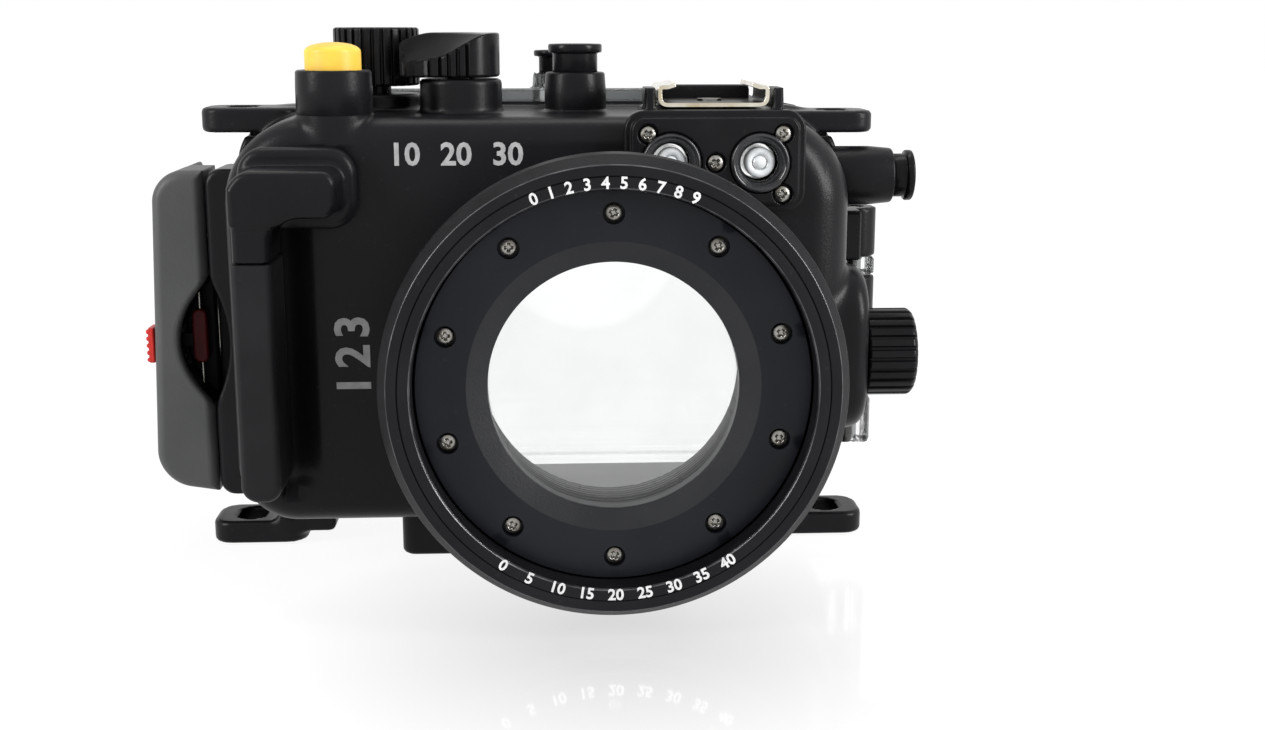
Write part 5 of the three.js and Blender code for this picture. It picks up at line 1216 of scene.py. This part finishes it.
# CAD pieces whose shapes are right keep their meshes and take these finishes
kept = {
    "steel": "hinge_pin latch_pin latch_hook shutter_arm zoom_fork cold_shoe_screw",
    "rubber": "port_glass_seal mode_wheel ring_wheel door_seal camera_pad_left camera_pad_right",
}
for finish, pieces in kept.items():
    for name in pieces.split():
        for holder in nodes[name].material_slots:
            holder.material = finishes[finish]


marks = {
    "shellRow": "10 20 30", "shellLeft": -36.2, "shellPitch": 9.2, "shellBase": 36.4,
    "shellFace": 33.98, "ringFace": -0.02,
    "digit": 5.6, "thick": 0.05, "arcRadius": 34.6, "arcDigit": 2.7,
    "topArc": "0 1 2 3 4 5 6 7 8 9", "topSpread": 44.0,
    "sideRow": "1 2 3", "sideSize": 8.6, "sideX": -46.3, "sideFrom": -5.6, "sidePitch": 5.5,
    "bottomArc": "0 5 10 15 20 25 30 35 40", "bottomSpread": 66.0,
}


# Plain numbers as thin print: what stands where on the housing, faced to the front
def printNumbers(name, words, finish):
    parts = []
    for text, size, x, y, z, lean in words:
        curve = bpy.data.curves.new(name, "FONT")
        curve.body = text
        curve.size = size * mm
        curve.align_x = "CENTER"
        curve.align_y = "CENTER"
        curve.extrude = marks["thick"] * mm
        curve.offset = 0.025 * mm * size
        curve.resolution_u = 3
        writing = addObject(name, curve)
        writing.location = Vector(toRow((x, y, z)))
        writing.rotation_euler = (math.radians(90), lean, 0)
        graph = bpy.context.evaluated_depsgraph_get()
        graph.update()
        mesh = bpy.data.meshes.new_from_object(writing.evaluated_get(graph))
        mesh.transform(Matrix.LocRotScale(writing.location, writing.rotation_euler, Vector((1, 1, 1))))
        parts.append(mesh)
        bpy.data.objects.remove(writing)
    points, faces = [], []
    for mesh in parts:
        faces += [tuple(i + len(points) for i in face.vertices) for face in mesh.polygons]
        points += [tuple(vertex.co) for vertex in mesh.vertices]
    joined = bpy.data.meshes.new(name)
    joined.from_pydata(points, [], faces)
    joined.materials.append(finishes[finish])
    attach(addObject(name, joined), "housing")


row = []
for i, text in enumerate(marks["shellRow"].split()):
    x = marks["shellLeft"] + i * marks["shellPitch"]
    row.append((text, marks["digit"], x, marks["shellFace"], marks["shellBase"], 0))
for i, text in enumerate(marks["sideRow"].split()):
    height = marks["sideFrom"] + i * marks["sidePitch"]
    row.append((text, marks["sideSize"], marks["sideX"], marks["shellFace"], height, -math.pi / 2))
printNumbers("shellNumbers", row, "greyPrint")
arcs = []
for arc, middle, way in (("top", 0, 1), ("bottom", 180, -1)):      # the lower arc reads from below
    words = marks[f"{arc}Arc"].split()
    for i, text in enumerate(words):
        share = way * (i / (len(words) - 1) - 0.5)
        turn = math.radians(middle + share * marks[f"{arc}Spread"])
        x, z = marks["arcRadius"] * math.sin(turn), marks["arcRadius"] * math.cos(turn)
        arcs.append((text, marks["arcDigit"], x, marks["ringFace"], z, turn - math.radians(middle)))
printNumbers("ringNumbers", arcs, "whitePrint")
print("marks done")


stage = {"size": 6.0, "foot": (0.0147, -0.046, -0.0004), "near": 0.010, "far": 0.062, "mirror": 0.27,
         "glow": 1.06, "share": 0.87, "whiteFrom": 0.10, "whiteAt": 0.30, "world": 0.38,
         "aim": (0, 0, 0.05)}
white = (1, 1, 1, 1)
material, ground = newMaterial("studioWhite")
rays, seen = ground.rays()
mottle = ground.noise(ground.add("ShaderNodeTexCoord", output=3), 400.0)
tone = ground.mix(mottle, (0.86, 0.86, 0.86), (0.90, 0.90, 0.90))
matt = ground.add("ShaderNodeBsdfDiffuse", {}, {"Color": tone})
glow = ground.add("ShaderNodeEmission", {}, {"Color": white, "Strength": stage["glow"]})
spot = ground.add("ShaderNodeNewGeometry")
away = ground.add("ShaderNodeVectorMath", {"operation": "LENGTH"}, {0: spot}, 1)
far = ground.spread(away, stage["whiteFrom"], stage["whiteAt"])
lit = seen * (stage["share"] + (1 - stage["share"]) * far)
plain = ground.add("ShaderNodeMixShader", {}, {0: lit, 1: matt, 2: glow})
reach = ground.add("ShaderNodeVectorMath", {"operation": "DISTANCE"}, {0: spot, 1: stage["foot"]}, 1)
fading = ground.spread(reach, stage["near"], stage["far"])      # the mirror image fades round the ring's foot
mirror = ground.add("ShaderNodeBsdfAnisotropic", {}, {"Color": white, "Roughness": 0.07})
blend = ground.add("ShaderNodeMixShader", {}, {0: rays * stage["mirror"] * (1 - fading), 1: plain, 2: mirror})
ground.add("ShaderNodeOutputMaterial", {}, {"Surface": blend})
half = stage["size"] / 2
corners = [(-half, -half, 0), (half, -half, 0), (half, half, 0), (-half, half, 0)]
sheet = bpy.data.meshes.new("studioFloor")
sheet.from_pydata(corners, [], [(0, 1, 2, 3)])
sheet.materials.append(material)
floor = addObject("studioFloor", sheet)
floor.location = (0, 0, stage["foot"][2])

world = bpy.data.worlds.new("studioWorld")
world.use_nodes = True
bpy.context.scene.world = world
air = Finish(world.node_tree)
rays, seen = air.rays()
dimSky = air.add("ShaderNodeBackground", {}, {"Color": white, "Strength": stage["world"]})
whiteSky = air.add("ShaderNodeBackground", {}, {"Color": white, "Strength": 1.0})
sky = air.add("ShaderNodeMixShader", {}, {0: seen, 1: dimSky, 2: whiteSky})
air.add("ShaderNodeOutputWorld", {}, {"Surface": sky})

lamps = {
    "topLamp": {"place": (-0.05, 0.16, 0.75), "size": (0.55, 0.20), "power": 1.3},
    "leftLamp": {"place": (-0.65, -0.35, 0.35), "size": (0.16, 0.5), "power": 4.8},
    "rightLamp": {"place": (0.60, -0.30, 0.30), "size": (0.16, 0.5), "power": 5.6},
}
for name, lamp in lamps.items():
    light = bpy.data.lights.new(name, "AREA")
    light.shape = "RECTANGLE"
    light.size, light.size_y = lamp["size"]
    light.energy = lamp["power"]
    thing = addObject(name, light)
    thing.location = lamp["place"]
    toward = Vector(stage["aim"]) - Vector(lamp["place"])
    thing.rotation_euler = toward.to_track_quat("-Z", "Y").to_euler()
print("stage and lights done")
